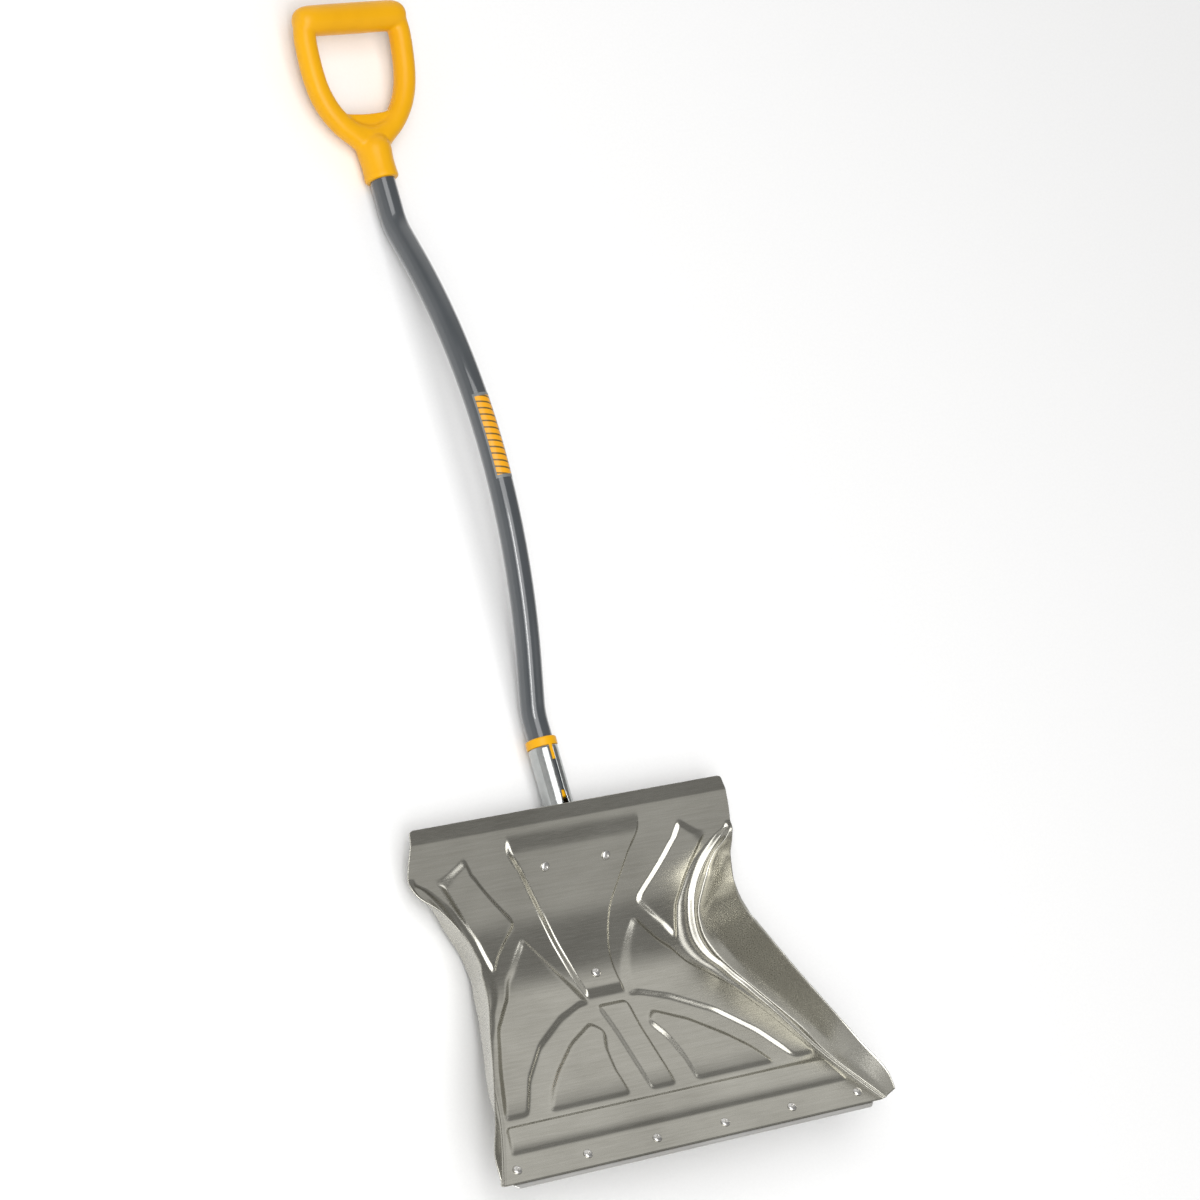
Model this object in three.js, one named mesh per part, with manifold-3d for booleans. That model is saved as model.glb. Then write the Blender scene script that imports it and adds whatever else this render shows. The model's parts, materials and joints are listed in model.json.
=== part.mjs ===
// A snow shovel: a stamped aluminium blade with a riveted steel wear strip, a rolled steel socket
// riveted behind it, a bent steel tube shaft with plastic trim, and a moulded plastic D-grip.
//
// Millimetres. The pieces are laid out in a working frame: X across the blade, Y up from the middle
// of the cutting edge, Z towards the side that carries snow. The finished group is then laid on its
// back, as the shovel lies on the ground: +X across, +Y towards the grip, +Z up, with the origin on
// the ground under the middle of the shovel. The shovel is symmetric about x = 0.
import * as THREE from 'three';
import { mergeVertices } from 'three/addons/utils/BufferGeometryUtils.js';
import Module from 'manifold-3d';

const wasm = await Module();
wasm.setup();

// ---------------------------------------------------------------- driving dimensions
const GAP = 0.3; // clearance kept between pieces that touch
const radians = THREE.MathUtils.degToRad;

// Side profile of the blade, measured along the sheet from the cutting edge.
const FLOOR_SLOPE = 44.3; // degrees that the floor leans back from Y
const FLOOR_LENGTH = 222;
const BEND_RADIUS = 120;
const BACK_SLOPE = -7; // the upper face leans a little forward
const STRIP_START = 419; // where the top strip steps back
const STRIP_SLOPE = 15;
const BLADE_LENGTH = 435; // cutting edge to top edge along the sheet
const BLADE_THICKNESS = 1.6;

// Half widths and heights across the blade, as [distance along the sheet, value]. A ridge is
// stamped along each side, a channel runs outside it, and the side wall stands on the channel.
const RIDGE_X = [[0, 255], [35, 236.5], [83, 214], [151, 190], [183, 176.5], [213, 163], [229, 155],
  [243, 151], [257, 149.5], [270, 150.5], [305, 158], [321, 165], [338, 175], [351, 185], [368, 201],
  [380, 216]];
const RIDGE_RISE = [[0, 2], [83, 3], [151, 4], [213, 6], [257, 8], [305, 8], [338, 6], [351, 5], [368, 4],
  [375, 3], [382, 0]];
const FILLET_WIDTH = [[0, 6], [83, 8], [138, 10], [212, 22], [255, 32], [300, 30], [343, 20], [378, 8]];
const CHANNEL_X = [[0, 257], [83, 217], [134, 200], [172, 184], [211, 168], [237, 160], [257, 157],
  [273, 158], [285, 160], [308, 170], [333, 184], [345, 193], [371, 214], [378, 217]];
const CHANNEL_DEPTH = [[150, 0.5], [220, 2.5], [340, 2.5], [368, 0]];
const RIM_X = [[0, 263], [13, 262.5], [60, 243], [110, 222], [150, 206.5], [200, 188], [250, 179],
  [290, 178.5], [320, 181], [350, 195], [365, 211], [378, 217], [435, 209]];
const RIM_RISE = [[0, 15], [13, 20.5], [60, 33], [110, 44.5], [150, 53], [200, 64.5], [250, 68], [290, 62.5],
  [320, 52.5], [350, 27.5], [365, 10], [375, 4], [382, 0]];

// Stamped relief: outlines as [distance along the sheet, half width] and heights off the sheet.
const RELIEF = 3.5;
const PANEL_RELIEF = 5;
const BAND_RISE = 2.5;
const LOW_END = 1.3; // height at the lower ends, where the relief runs out towards the edge
const EDGE = 2.2; // half the width of a stamped shoulder
const RIB = [[76, 17], [158, 17], [197, 19]];
const PAD_INNER = [[76, 45], [110, 46], [140, 42], [163, 31], [204, 28]];
const PAD_OUTER = [[76, 150], [103, 133], [128, 112], [155, 79], [176, 43], [204, 34]];
const ARC = [[76, 180], [84, 178], [122, 153], [160, 118], [190, 74], [204, 41]];
const FIELD_INNER = [[204, 36], [221, 38], [261, 54], [292, 73]];
const FIELD_OUTER = [[76, 208], [138, 181], [194, 152], [232, 121], [264, 97], [292, 77]];
const PANEL = [[204, 22], [219, 25], [250, 29], [285, 38], [311, 46], [343, 61], [370, 74], [392, 88],
  [409, 86]];
const ARROW_INNER = [[262, 122], [279, 112], [313, 83], [340, 107], [354, 119], [376, 137], [393, 147]];
const ARROW_OUTER = [[262, 125], [300, 134], [340, 157], [373, 177], [393, 151]];
const BAND_HALF = [[34, 224], [67, 212]];

// Fasteners.
const RIVET_HOLE = 2.8; // radius
const RIVET_SHANK = 2.5;
const LIP_RIVET_PITCH = 91.2;
const LIP_RIVET_ALONG = 16;
const UPPER_RIVET_X = 41;
const UPPER_RIVET_ALONG = 370;
const LOWER_RIVET_ALONG = 238;
const SCREW_SHANK = 2.2;
const SCREW_SEAT_RADIUS = 5;

// Wear strip under the cutting edge.
const STRIP_HALF = 240;
const STRIP_OVERHANG = 5;
const STRIP_TOP = 32;
const PLATE_THICKNESS = 2; // wear strip and socket sheet

// Shaft: a bent tube. Angles are degrees that the tube leans back from Y.
const SHAFT_RADIUS = 14.3;
const SHAFT_BORE = 12.8;
const SOCKET_LEAN = 17.6;
const SOCKET_MARK = new THREE.Vector2(358.3, -200.1); // a point on the socket axis, as (y, z)
const SHAFT_ROUTE = [
  { line: 81 }, { turn: -20.6, radius: 62 }, { line: 46 }, { turn: 42, radius: 674 }, { line: 31 },
  { turn: -21.7, radius: 73 }, { line: 86 },
];
const SHAFT_START = 14; // tube end above the socket mark
const SHAFT_SIDES = 16;
const SOCKET_SCREW_ALONG = 26; // distance along the shaft
const SCREW_BITE = 4; // how far a screw reaches in past the bore of the shaft

// Socket.
const SOCKET_MID = SHAFT_RADIUS + 0.35 + PLATE_THICKNESS / 2; // radius at mid thickness
const SOCKET_TOP = 66; // above the socket mark
const SEAM_HALF_ANGLE = 8;
const SOCKET_STEPS = 10; // strips from the back line to each edge of the sheet
const PLATE_HALF = [[222, 9], [226, 13], [240, 16], [285, 25], [311, 33], [343, 43], [362, 49], [377, 49],
  [385, 15]];
const PLATE_END = 385; // the ears of the socket plate stop here
const TUBE_START = 409;

// Collar, label, plug.
const COLLAR_RADIUS = 17.6;
const COLLAR_HEIGHT = 10;
const TONGUE_LENGTH = 17;
const TONGUE_WIDTH = 3.6;
const LABEL_FROM = 354; // distance along the shaft
const LABEL_LENGTH = 98;
const LABEL_HALF_ANGLE = 48;

// D-grip.
const NECK_LENGTH = 46; // mouth to the root of the D
const SHAFT_IN_GRIP = 45; // how far the shaft reaches into the neck
const GRIP_SCREW_ALONG = 18; // above the mouth of the neck
const NECK_MOUTH_RADIUS = 18.8;
const GRIP_SCREW_SEAT = NECK_MOUTH_RADIUS - 3; // the screw's head is sunk into the neck
const GRIP_LEAN = 8;
const CROSSBAR_RADIUS = 17.6;
const CROSSBAR_ALONG = 143; // above the root of the D
const ARM_RADIUS = 12.2;
const ARM_ROUTE = [[0, -12], [17, 6], [35, 22], [51, 45], [59, 68], [62.5, 94], [63.5, 120], [60.5, 143]];

// ---------------------------------------------------------------- materials
const finish = (color, roughness, metalness) =>
  new THREE.MeshStandardMaterial({ color, roughness, metalness, side: THREE.FrontSide });
const aluminium = () => finish(0xb4b2ac, 0.38, 1);
const galvanised = () => finish(0xc4c9cc, 0.3, 1);
const paintedSteel = () => finish(0x5a6468, 0.25, 0.2);
const yellowPlastic = () => finish(0xfdb713, 0.35, 0);
const labelFilm = () => finish(0xf6b221, 0.4, 0);

// ---------------------------------------------------------------- small helpers
// The value of a line of [position, value] points at a position, level beyond its ends.
function along(points, at) {
  if (at <= points[0][0]) {
    return points[0][1];
  }
  for (let i = 1; i < points.length; i += 1) {
    const [a, va] = points[i - 1];
    const [b, vb] = points[i];
    if (at <= b) {
      return va + ((vb - va) * (at - a)) / (b - a);
    }
  }
  return points[points.length - 1][1];
}

function toManifold(geometry) {
  const bare = geometry.clone();
  bare.deleteAttribute('normal');
  bare.deleteAttribute('uv');
  const merged = mergeVertices(bare, 1e-4);
  return new wasm.Manifold(new wasm.Mesh({
    numProp: 3,
    vertProperties: Float32Array.from(merged.attributes.position.array),
    triVerts: Uint32Array.from(merged.index.array),
  }));
}

function toGeometry(manifold) {
  const mesh = manifold.getMesh();
  const geometry = new THREE.BufferGeometry();
  geometry.setAttribute('position', new THREE.BufferAttribute(mesh.vertProperties, 3));
  geometry.setIndex(new THREE.BufferAttribute(mesh.triVerts, 1));
  geometry.computeVertexNormals();
  return geometry;
}

const cut = (geometry, tools) =>
  toGeometry(tools.reduce((solid, tool) => solid.subtract(toManifold(tool)), toManifold(geometry)));

const join = (geometries) => {
  const solids = geometries.map(toManifold);
  return toGeometry(solids.slice(1).reduce((whole, solid) => whole.add(solid), solids[0]));
};

// A closed skin over two facing grids of points, rows upwards and columns towards +X.
function sheetGeometry(front, back) {
  const rows = front.length;
  const columns = front[0].length;
  const points = [...front.flat(), ...back.flat()];
  const offset = rows * columns;
  const index = [];
  const quad = (a, b, c, d) => index.push(a, b, c, a, c, d);
  const id = (r, c) => r * columns + c;
  for (let r = 0; r < rows - 1; r += 1) {
    for (let c = 0; c < columns - 1; c += 1) {
      quad(id(r, c), id(r, c + 1), id(r + 1, c + 1), id(r + 1, c));
      quad(offset + id(r, c), offset + id(r + 1, c), offset + id(r + 1, c + 1), offset + id(r, c + 1));
    }
  }
  for (let c = 0; c < columns - 1; c += 1) {
    const top = rows - 1;
    quad(id(0, c), offset + id(0, c), offset + id(0, c + 1), id(0, c + 1));
    quad(id(top, c), id(top, c + 1), offset + id(top, c + 1), offset + id(top, c));
  }
  for (let r = 0; r < rows - 1; r += 1) {
    const last = columns - 1;
    quad(id(r, 0), id(r + 1, 0), offset + id(r + 1, 0), offset + id(r, 0));
    quad(id(r, last), offset + id(r, last), offset + id(r + 1, last), id(r + 1, last));
  }
  const geometry = new THREE.BufferGeometry();
  const flat = points.flatMap((p) => [p.x, p.y, p.z]);
  geometry.setAttribute('position', new THREE.Float32BufferAttribute(flat, 3));
  geometry.setIndex(index);
  geometry.computeVertexNormals();
  return geometry;
}

// A grid moved along its own normals by a distance.
function shifted(grid, distance) {
  const last = grid.length - 1;
  return grid.map((row, r) => row.map((point, c) => {
    const acrossA = row[Math.max(c - 1, 0)];
    const acrossB = row[Math.min(c + 1, row.length - 1)];
    const upA = grid[Math.max(r - 1, 0)][c];
    const upB = grid[Math.min(r + 1, last)][c];
    const normal = acrossB.clone().sub(acrossA).cross(upB.clone().sub(upA)).normalize();
    return point.clone().addScaledVector(normal, distance);
  }));
}

// ---------------------------------------------------------------- blade surface
// The place and lean of the side profile at a distance along the sheet.
function profile(s) {
  const floorLean = radians(FLOOR_SLOPE);
  const backLean = radians(BACK_SLOPE);
  const bendLength = BEND_RADIUS * (floorLean - backLean);
  const floorPart = Math.min(s, FLOOR_LENGTH);
  let y = floorPart * Math.cos(floorLean);
  let z = -floorPart * Math.sin(floorLean);
  let lean = floorLean;
  if (s > FLOOR_LENGTH) {
    const turned = Math.min(s - FLOOR_LENGTH, bendLength) / BEND_RADIUS;
    lean = floorLean - turned;
    y += BEND_RADIUS * (Math.sin(floorLean) - Math.sin(lean));
    z -= BEND_RADIUS * (Math.cos(lean) - Math.cos(floorLean));
  }
  const backPart = Math.min(s, STRIP_START) - FLOOR_LENGTH - bendLength;
  if (backPart > 0) {
    y += backPart * Math.cos(backLean);
    z -= backPart * Math.sin(backLean);
  }
  if (s > STRIP_START) {
    lean = radians(STRIP_SLOPE);
    y += (s - STRIP_START) * Math.cos(lean);
    z -= (s - STRIP_START) * Math.sin(lean);
  }
  return { y, z, lean };
}

const faceNormal = (s) => {
  const { lean } = profile(s);
  return new THREE.Vector3(0, Math.sin(lean), Math.cos(lean));
};

// A point at x across, s along the sheet and a rise off it.
const facePoint = (x, s, rise = 0) => {
  const { y, z } = profile(s);
  return new THREE.Vector3(x, y, z).addScaledVector(faceNormal(s), rise);
};

// Half of one row across the blade, from the middle to the rim: [x, rise] pairs that follow the
// outlines of the stamped relief, so that every shoulder is a clean pair of lines.
function halfRow(s) {
  const ribRise = along([[76, 0], [82, LOW_END], [100, RELIEF], [190, RELIEF], [197, 0]], s);
  const padRise = along([[76, 0], [82, LOW_END], [100, RELIEF], [166, RELIEF], [176, 0]], s);
  const fieldRise = along([[76, 0], [82, LOW_END], [100, RELIEF], [286, RELIEF], [294, 0]], s);
  const panelRise = along([[208, 0], [219, PANEL_RELIEF], [395, PANEL_RELIEF], [409, 0]], s);
  const arrowRise = along([[258, 0], [264, RELIEF], [384, RELIEF], [391, 0]], s);
  const bandRise = along([[34, 0], [38, LOW_END], [63, BAND_RISE], [67, 0]], s);
  const bandHalf = along(BAND_HALF, s);
  const panel = along(PANEL, s);
  const fieldInner = along(FIELD_INNER, s);
  const fieldOuter = along(FIELD_OUTER, s);
  const ridge = along(RIDGE_X, s);
  const ridgeRise = along(RIDGE_RISE, s);
  const filletStart = ridge - along(FILLET_WIDTH, s);
  const channel = along(CHANNEL_X, s);
  const channelRise = Math.max(0, ridgeRise - along(CHANNEL_DEPTH, s));
  const rim = along(RIM_X, s);
  const rimRise = along(RIM_RISE, s);
  const lower = s <= 204;
  const row = lower
    ? [[0, ribRise], [along(RIB, s) - EDGE, ribRise], [along(RIB, s) + EDGE, 0],
      [along(PAD_INNER, s) - EDGE, 0], [along(PAD_INNER, s) + EDGE, padRise],
      [along(PAD_OUTER, s) - EDGE, padRise], [along(PAD_OUTER, s) + EDGE, 0],
      [along(ARC, s) - EDGE, 0], [along(ARC, s) + EDGE, fieldRise]]
    : [[0, panelRise], [panel * 0.4, panelRise], [panel * 0.75, panelRise],
      [panel - EDGE, panelRise], [panel + EDGE, 0], [fieldInner - EDGE, 0],
      [fieldInner + EDGE, fieldRise], [fieldInner + (fieldOuter - fieldInner) * 0.35, fieldRise],
      [fieldInner + (fieldOuter - fieldInner) * 0.7, fieldRise]];
  row.push([fieldOuter - EDGE, fieldRise], [fieldOuter + EDGE, 0]);
  const hasArrow = s >= 258;
  const spare = filletStart - fieldOuter;
  const arrowInner = hasArrow ? along(ARROW_INNER, s) : fieldOuter + spare * 0.45;
  const arrowOuter = hasArrow ? along(ARROW_OUTER, s) : fieldOuter + spare * 0.8;
  row.push([arrowInner - EDGE, 0], [arrowInner + EDGE, arrowRise]);
  row.push([arrowOuter - EDGE, arrowRise], [arrowOuter + EDGE, 0]);
  row.push([filletStart, 0], [(filletStart + ridge) / 2, ridgeRise * 0.3], [ridge, ridgeRise]);
  const wall = (t, sag) => [
    channel + (rim - channel) * (t + sag), channelRise + (rimRise - channelRise) * (t - sag),
  ];
  row.push([channel, channelRise], wall(0.4, 0.05), wall(1, 0));
  // Neighbouring lines keep a little apart, first outwards and then back from the rim.
  const apart = 1.6;
  for (let i = 1; i < row.length; i += 1) {
    row[i][0] = Math.max(row[i][0], row[i - 1][0] + apart);
  }
  row[row.length - 1][0] = rim;
  for (let i = row.length - 2; i > 0; i -= 1) {
    row[i][0] = Math.min(row[i][0], row[i + 1][0] - apart);
  }
  return row.map(([x, rise]) => [x, rise + (x < bandHalf ? bandRise : 0)]);
}

const BEND_ROWS = [219, 230, 246, 262, 278, 294, 311, 326, 340]; // shared with the socket plate
const BLADE_ROWS = [0, 34, 38, 63, 67, 76, 82, 100, 120, 140, 160, 176, 190, 197, 204, 208, ...BEND_ROWS,
  355, 376, 384, 391, 395, 409, STRIP_START, BLADE_LENGTH];

function bladeSkin() {
  return BLADE_ROWS.map((s) => {
    const half = halfRow(s);
    const left = half.slice(1).reverse().map(([x, rise]) => facePoint(-x, s, rise));
    const right = half.map(([x, rise]) => facePoint(x, s, rise));
    return [...left, ...right];
  });
}

// Rivet places: distance across, distance along and the rise of the sheet there.
const lipRivets = [-2.5, -1.5, -0.5, 0.5, 1.5, 2.5].map((n) => [n * LIP_RIVET_PITCH, LIP_RIVET_ALONG, 0]);
const SEAT_LIFT = 0.27; // the flat seat of the lower rivet stands this far inside the bend
const socketRivets = [[-UPPER_RIVET_X, UPPER_RIVET_ALONG, PANEL_RELIEF],
  [UPPER_RIVET_X, UPPER_RIVET_ALONG, PANEL_RELIEF], [0, LOWER_RIVET_ALONG, PANEL_RELIEF + SEAT_LIFT]];

// A cylinder through the sheet at a rivet.
function drill([x, s, rise], radius = RIVET_HOLE) {
  const tool = new THREE.CylinderGeometry(radius, radius, 20, 10);
  const upright = new THREE.Quaternion().setFromUnitVectors(new THREE.Vector3(0, 1, 0), faceNormal(s));
  const centre = facePoint(x, s, rise);
  return tool.applyQuaternion(upright).translate(centre.x, centre.y, centre.z);
}

function bladeGeometry() {
  const skin = bladeSkin();
  const sheet = sheetGeometry(skin, shifted(skin, -BLADE_THICKNESS));
  return cut(sheet, [...lipRivets, ...socketRivets].map((place) => drill(place)));
}

// ---------------------------------------------------------------- wear strip and rivets
function wearStripGeometry() {
  const outline = new THREE.Shape();
  const corner = 4;
  outline.moveTo(-STRIP_HALF + corner, -STRIP_OVERHANG);
  outline.lineTo(STRIP_HALF - corner, -STRIP_OVERHANG);
  outline.lineTo(STRIP_HALF, -STRIP_OVERHANG + corner);
  outline.lineTo(STRIP_HALF, STRIP_TOP);
  outline.lineTo(-STRIP_HALF, STRIP_TOP);
  outline.lineTo(-STRIP_HALF, -STRIP_OVERHANG + corner);
  outline.closePath();
  const plate = new THREE.ExtrudeGeometry(outline, { depth: PLATE_THICKNESS, bevelEnabled: false });
  plate.translate(0, 0, -BLADE_THICKNESS - GAP - PLATE_THICKNESS);
  plate.rotateX(-radians(FLOOR_SLOPE));
  return cut(plate, lipRivets.map((place) => drill(place)));
}

// A set rivet: a domed head in front, a shank through both sheets and a formed tail behind.
function rivetGeometry() {
  const stack = BLADE_THICKNESS + GAP + PLATE_THICKNESS;
  const headRadius = 5.4;
  const tailRadius = 4.2;
  const section = [
    [0, GAP + 2.5], [2.8, GAP + 2.2], [4.6, GAP + 1.2], [headRadius, GAP], [RIVET_SHANK, GAP],
    [RIVET_SHANK, -stack - GAP], [tailRadius, -stack - GAP], [3.6, -stack - GAP - 1.5],
    [0, -stack - GAP - 1.9],
  ].reverse().map(([r, y]) => new THREE.Vector2(r, y));
  return new THREE.LatheGeometry(section, 10);
}

function rivetMesh(name, [x, s, rise], material) {
  const mesh = new THREE.Mesh(rivetGeometry(), material);
  mesh.name = name;
  mesh.position.copy(facePoint(x, s, rise));
  mesh.quaternion.setFromUnitVectors(new THREE.Vector3(0, 1, 0), faceNormal(s));
  return mesh;
}

// ---------------------------------------------------------------- shaft route
// Stations along the shaft in the plane x = 0: place, lean and distance from the lower end.
function shaftStations() {
  let lean = SOCKET_LEAN;
  const start = radians(lean);
  let y = SOCKET_MARK.x + SHAFT_START * Math.cos(start);
  let z = SOCKET_MARK.y - SHAFT_START * Math.sin(start);
  let distance = 0;
  const stations = [{ y, z, lean, distance }];
  for (const step of SHAFT_ROUTE) {
    if (step.line) {
      y += step.line * Math.cos(radians(lean));
      z -= step.line * Math.sin(radians(lean));
      distance += step.line;
      stations.push({ y, z, lean, distance });
    } else {
      const count = Math.max(4, Math.round(Math.abs(step.turn) / 4.2));
      const angle = step.turn / count;
      const chord = 2 * step.radius * Math.sin(radians(Math.abs(angle) / 2));
      for (let i = 0; i < count; i += 1) {
        const heading = radians(lean + angle / 2);
        y += chord * Math.cos(heading);
        z -= chord * Math.sin(heading);
        lean += angle;
        distance += radians(Math.abs(angle)) * step.radius;
        stations.push({ y, z, lean, distance });
      }
    }
  }
  return stations;
}

// The station at any distance along the shaft.
function stationAt(stations, distance) {
  const next = Math.max(1, stations.findIndex((item) => item.distance >= distance));
  const a = stations[next - 1];
  const b = stations[next];
  const t = (distance - a.distance) / (b.distance - a.distance);
  const mix = (key) => a[key] + (b[key] - a[key]) * t;
  return { y: mix('y'), z: mix('z'), lean: mix('lean'), distance };
}

// A point beside the shaft: radius and angle from its front.
function besideShaft(station, radius, angle) {
  const lean = radians(station.lean);
  const front = new THREE.Vector3(0, Math.sin(lean), Math.cos(lean));
  return new THREE.Vector3(radius * Math.sin(angle), station.y, station.z)
    .addScaledVector(front, radius * Math.cos(angle));
}

function tubeGeometry(stations, outer, inner, sides) {
  const ring = (station, radius) => Array.from({ length: sides }, (_, i) =>
    besideShaft(station, radius, (2 * Math.PI * i) / sides));
  const points = [];
  const index = [];
  stations.forEach((station) => points.push(...ring(station, outer), ...ring(station, inner)));
  const id = (r, layer, i) => (r * 2 + layer) * sides + (i % sides);
  const quad = (a, b, c, d) => index.push(a, b, c, a, c, d);
  const last = stations.length - 1;
  for (let i = 0; i < sides; i += 1) {
    for (let r = 0; r < last; r += 1) {
      quad(id(r, 0, i), id(r, 0, i + 1), id(r + 1, 0, i + 1), id(r + 1, 0, i));
      quad(id(r, 1, i), id(r + 1, 1, i), id(r + 1, 1, i + 1), id(r, 1, i + 1));
    }
    quad(id(0, 0, i), id(0, 1, i), id(0, 1, i + 1), id(0, 0, i + 1));
    quad(id(last, 0, i), id(last, 0, i + 1), id(last, 1, i + 1), id(last, 1, i));
  }
  const geometry = new THREE.BufferGeometry();
  const flat = points.flatMap((p) => [p.x, p.y, p.z]);
  geometry.setAttribute('position', new THREE.Float32BufferAttribute(flat, 3));
  geometry.setIndex(index);
  geometry.computeVertexNormals();
  return geometry;
}

// Places a piece made about its own Y axis on the shaft's axis at a station.
function onShaft(geometry, station) {
  return geometry.rotateX(-radians(station.lean)).translate(0, station.y, station.z);
}

const route = shaftStations();
const shaftEnd = route[route.length - 1];
const shaftStart = route[0];
const mouth = stationAt(route, shaftEnd.distance - SHAFT_IN_GRIP); // where the shaft enters the grip

// A screw hole or shank that comes in from behind at a station.
function fromBehind(geometry, station) {
  const lean = radians(station.lean);
  const behind = new THREE.Vector3(0, -Math.sin(lean), -Math.cos(lean));
  const turn = new THREE.Quaternion().setFromUnitVectors(new THREE.Vector3(0, 1, 0), behind);
  return geometry.applyQuaternion(turn).translate(0, station.y, station.z);
}

const socketScrewAt = stationAt(route, SOCKET_SCREW_ALONG);
const gripScrewAt = stationAt(route, mouth.distance + GRIP_SCREW_ALONG);
const screwHole = (station) =>
  fromBehind(new THREE.CylinderGeometry(SCREW_SHANK + GAP, SCREW_SHANK + GAP, 30, 10)
    .translate(0, 20, 0), station);

// A round seat for a screw's head, sunk from behind to a radius from the shaft's axis.
const screwSeat = (radius, station) => {
  const depth = 10;
  return fromBehind(new THREE.CylinderGeometry(SCREW_SEAT_RADIUS, SCREW_SEAT_RADIUS, depth, 16)
    .translate(0, radius + depth / 2, 0), station);
};

// A pan head screw whose head stands on a surface at a radius from the shaft's axis.
function screwGeometry(surfaceRadius, station) {
  const tip = SHAFT_BORE - SCREW_BITE;
  const section = [
    [0, tip], [SCREW_SHANK - 0.8, tip], [SCREW_SHANK, tip + 1.2], [SCREW_SHANK, surfaceRadius + GAP],
    [4.4, surfaceRadius + GAP], [4.4, surfaceRadius + 1.6], [3.2, surfaceRadius + 2.7],
    [0, surfaceRadius + 2.9],
  ].map(([r, y]) => new THREE.Vector2(r, y));
  return fromBehind(new THREE.LatheGeometry(section, 12), station);
}

const shaftGeometry = () => cut(
  tubeGeometry(route, SHAFT_RADIUS, SHAFT_BORE, SHAFT_SIDES),
  [screwHole(socketScrewAt), screwHole(gripScrewAt)],
);

function labelGeometry() {
  const arcSteps = 9;
  const runSteps = 8;
  const inner = SHAFT_RADIUS + GAP;
  const grid = (radius) => Array.from({ length: runSteps + 1 }, (_, r) => {
    const station = stationAt(route, LABEL_FROM + (LABEL_LENGTH * r) / runSteps);
    return Array.from({ length: arcSteps + 1 }, (__, c) =>
      besideShaft(station, radius, radians(LABEL_HALF_ANGLE) * ((2 * c) / arcSteps - 1)));
  });
  return sheetGeometry(grid(inner + 0.3), grid(inner));
}

// A plug that closes the tube's lower end: a rim below the tube and a hollow skirt inside it.
function plugGeometry() {
  const section = [
    [4, -8], [SHAFT_RADIUS - 1.5, -8], [SHAFT_RADIUS, -6.5], [SHAFT_RADIUS, -GAP],
    [SHAFT_BORE - GAP, -GAP], [SHAFT_BORE - GAP, 14], [SHAFT_BORE - 2.2, 14], [SHAFT_BORE - 2.2, -5],
    [4, -5], [4, -8],
  ].map(([r, y]) => new THREE.Vector2(r, y));
  return onShaft(new THREE.LatheGeometry(section, 16), shaftStart);
}

// ---------------------------------------------------------------- socket
const socketLean = radians(SOCKET_LEAN);
const socketFront = new THREE.Vector3(0, Math.sin(socketLean), Math.cos(socketLean));
const socketUp = new THREE.Vector3(0, Math.cos(socketLean), -Math.sin(socketLean));
const socketAxis = (distance) =>
  new THREE.Vector3(0, SOCKET_MARK.x, SOCKET_MARK.y).addScaledVector(socketUp, distance);

// One row across the socket's sheet at mid thickness: an arc about the tube and flat ears beside it.
// origin is on the back line, front points to the blade, depth is the room between them.
function socketRow(origin, front, depth, earHalf) {
  const steps = SOCKET_STEPS;
  const openAngle = Math.PI - radians(SEAM_HALF_ANGLE);
  const bend = Math.min(openAngle, Math.acos(1 - Math.min(depth, 2 * SOCKET_MID) / SOCKET_MID));
  const arc = SOCKET_MID * bend;
  const ear = Math.max(0, earHalf - SOCKET_MID * Math.sin(bend));
  const place = (fraction) => {
    const run = Math.abs(fraction) * (arc + ear);
    const angle = Math.min(run, arc) / SOCKET_MID;
    const x = SOCKET_MID * Math.sin(angle) + Math.max(0, run - arc);
    const rise = SOCKET_MID * (1 - Math.cos(angle));
    return new THREE.Vector3(Math.sign(fraction) * x, 0, 0).add(origin).addScaledVector(front, rise);
  };
  return Array.from({ length: 2 * steps + 1 }, (_, i) => place(i / steps - 1));
}

function socketRows() {
  const plateRise = PANEL_RELIEF - BLADE_THICKNESS - GAP - PLATE_THICKNESS / 2;
  const backLine = socketAxis(0).addScaledVector(socketFront, -SOCKET_MID);
  const plateRows = [222, 225, ...BEND_ROWS.slice(1), 352, 364, 376, 385, 393, 401, TUBE_START];
  const rows = plateRows.map((s) => {
    const level = facePoint(0, s, plateRise);
    const turn = THREE.MathUtils.clamp((s - 340) / (TUBE_START - 340), 0, 1);
    const front = faceNormal(s).lerp(socketFront, turn).normalize();
    const room = level.clone().sub(backLine).dot(socketFront) / front.dot(socketFront);
    const depth = Math.max(0, room);
    const step = along([[393, 0], [409, PANEL_RELIEF]], s);
    const origin = level.addScaledVector(front, -depth);
    const earHalf = s <= PLATE_END ? along(PLATE_HALF, s) : 0;
    return socketRow(origin, front, depth - Math.min(step, depth), earHalf);
  });
  const lastOrigin = rows[rows.length - 1][SOCKET_STEPS];
  const firstAt = lastOrigin.clone().sub(backLine).dot(socketUp);
  const tubeSteps = 5;
  for (let i = 1; i <= tubeSteps; i += 1) {
    const at = firstAt + ((SOCKET_TOP - firstAt) * i) / tubeSteps;
    const origin = socketAxis(at).addScaledVector(socketFront, -SOCKET_MID);
    const seam = along([[firstAt, 27], [14, SEAM_HALF_ANGLE]], at);
    const depth = SOCKET_MID * (1 + Math.cos(radians(seam)));
    rows.push(socketRow(origin, socketFront, depth, 0));
  }
  return rows;
}

function socketGeometry() {
  const middle = socketRows();
  const half = PLATE_THICKNESS / 2;
  const sheet = sheetGeometry(shifted(middle, half), shifted(middle, -half));
  return cut(sheet, [...socketRivets.map((place) => drill(place)), screwHole(socketScrewAt)]);
}

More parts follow.
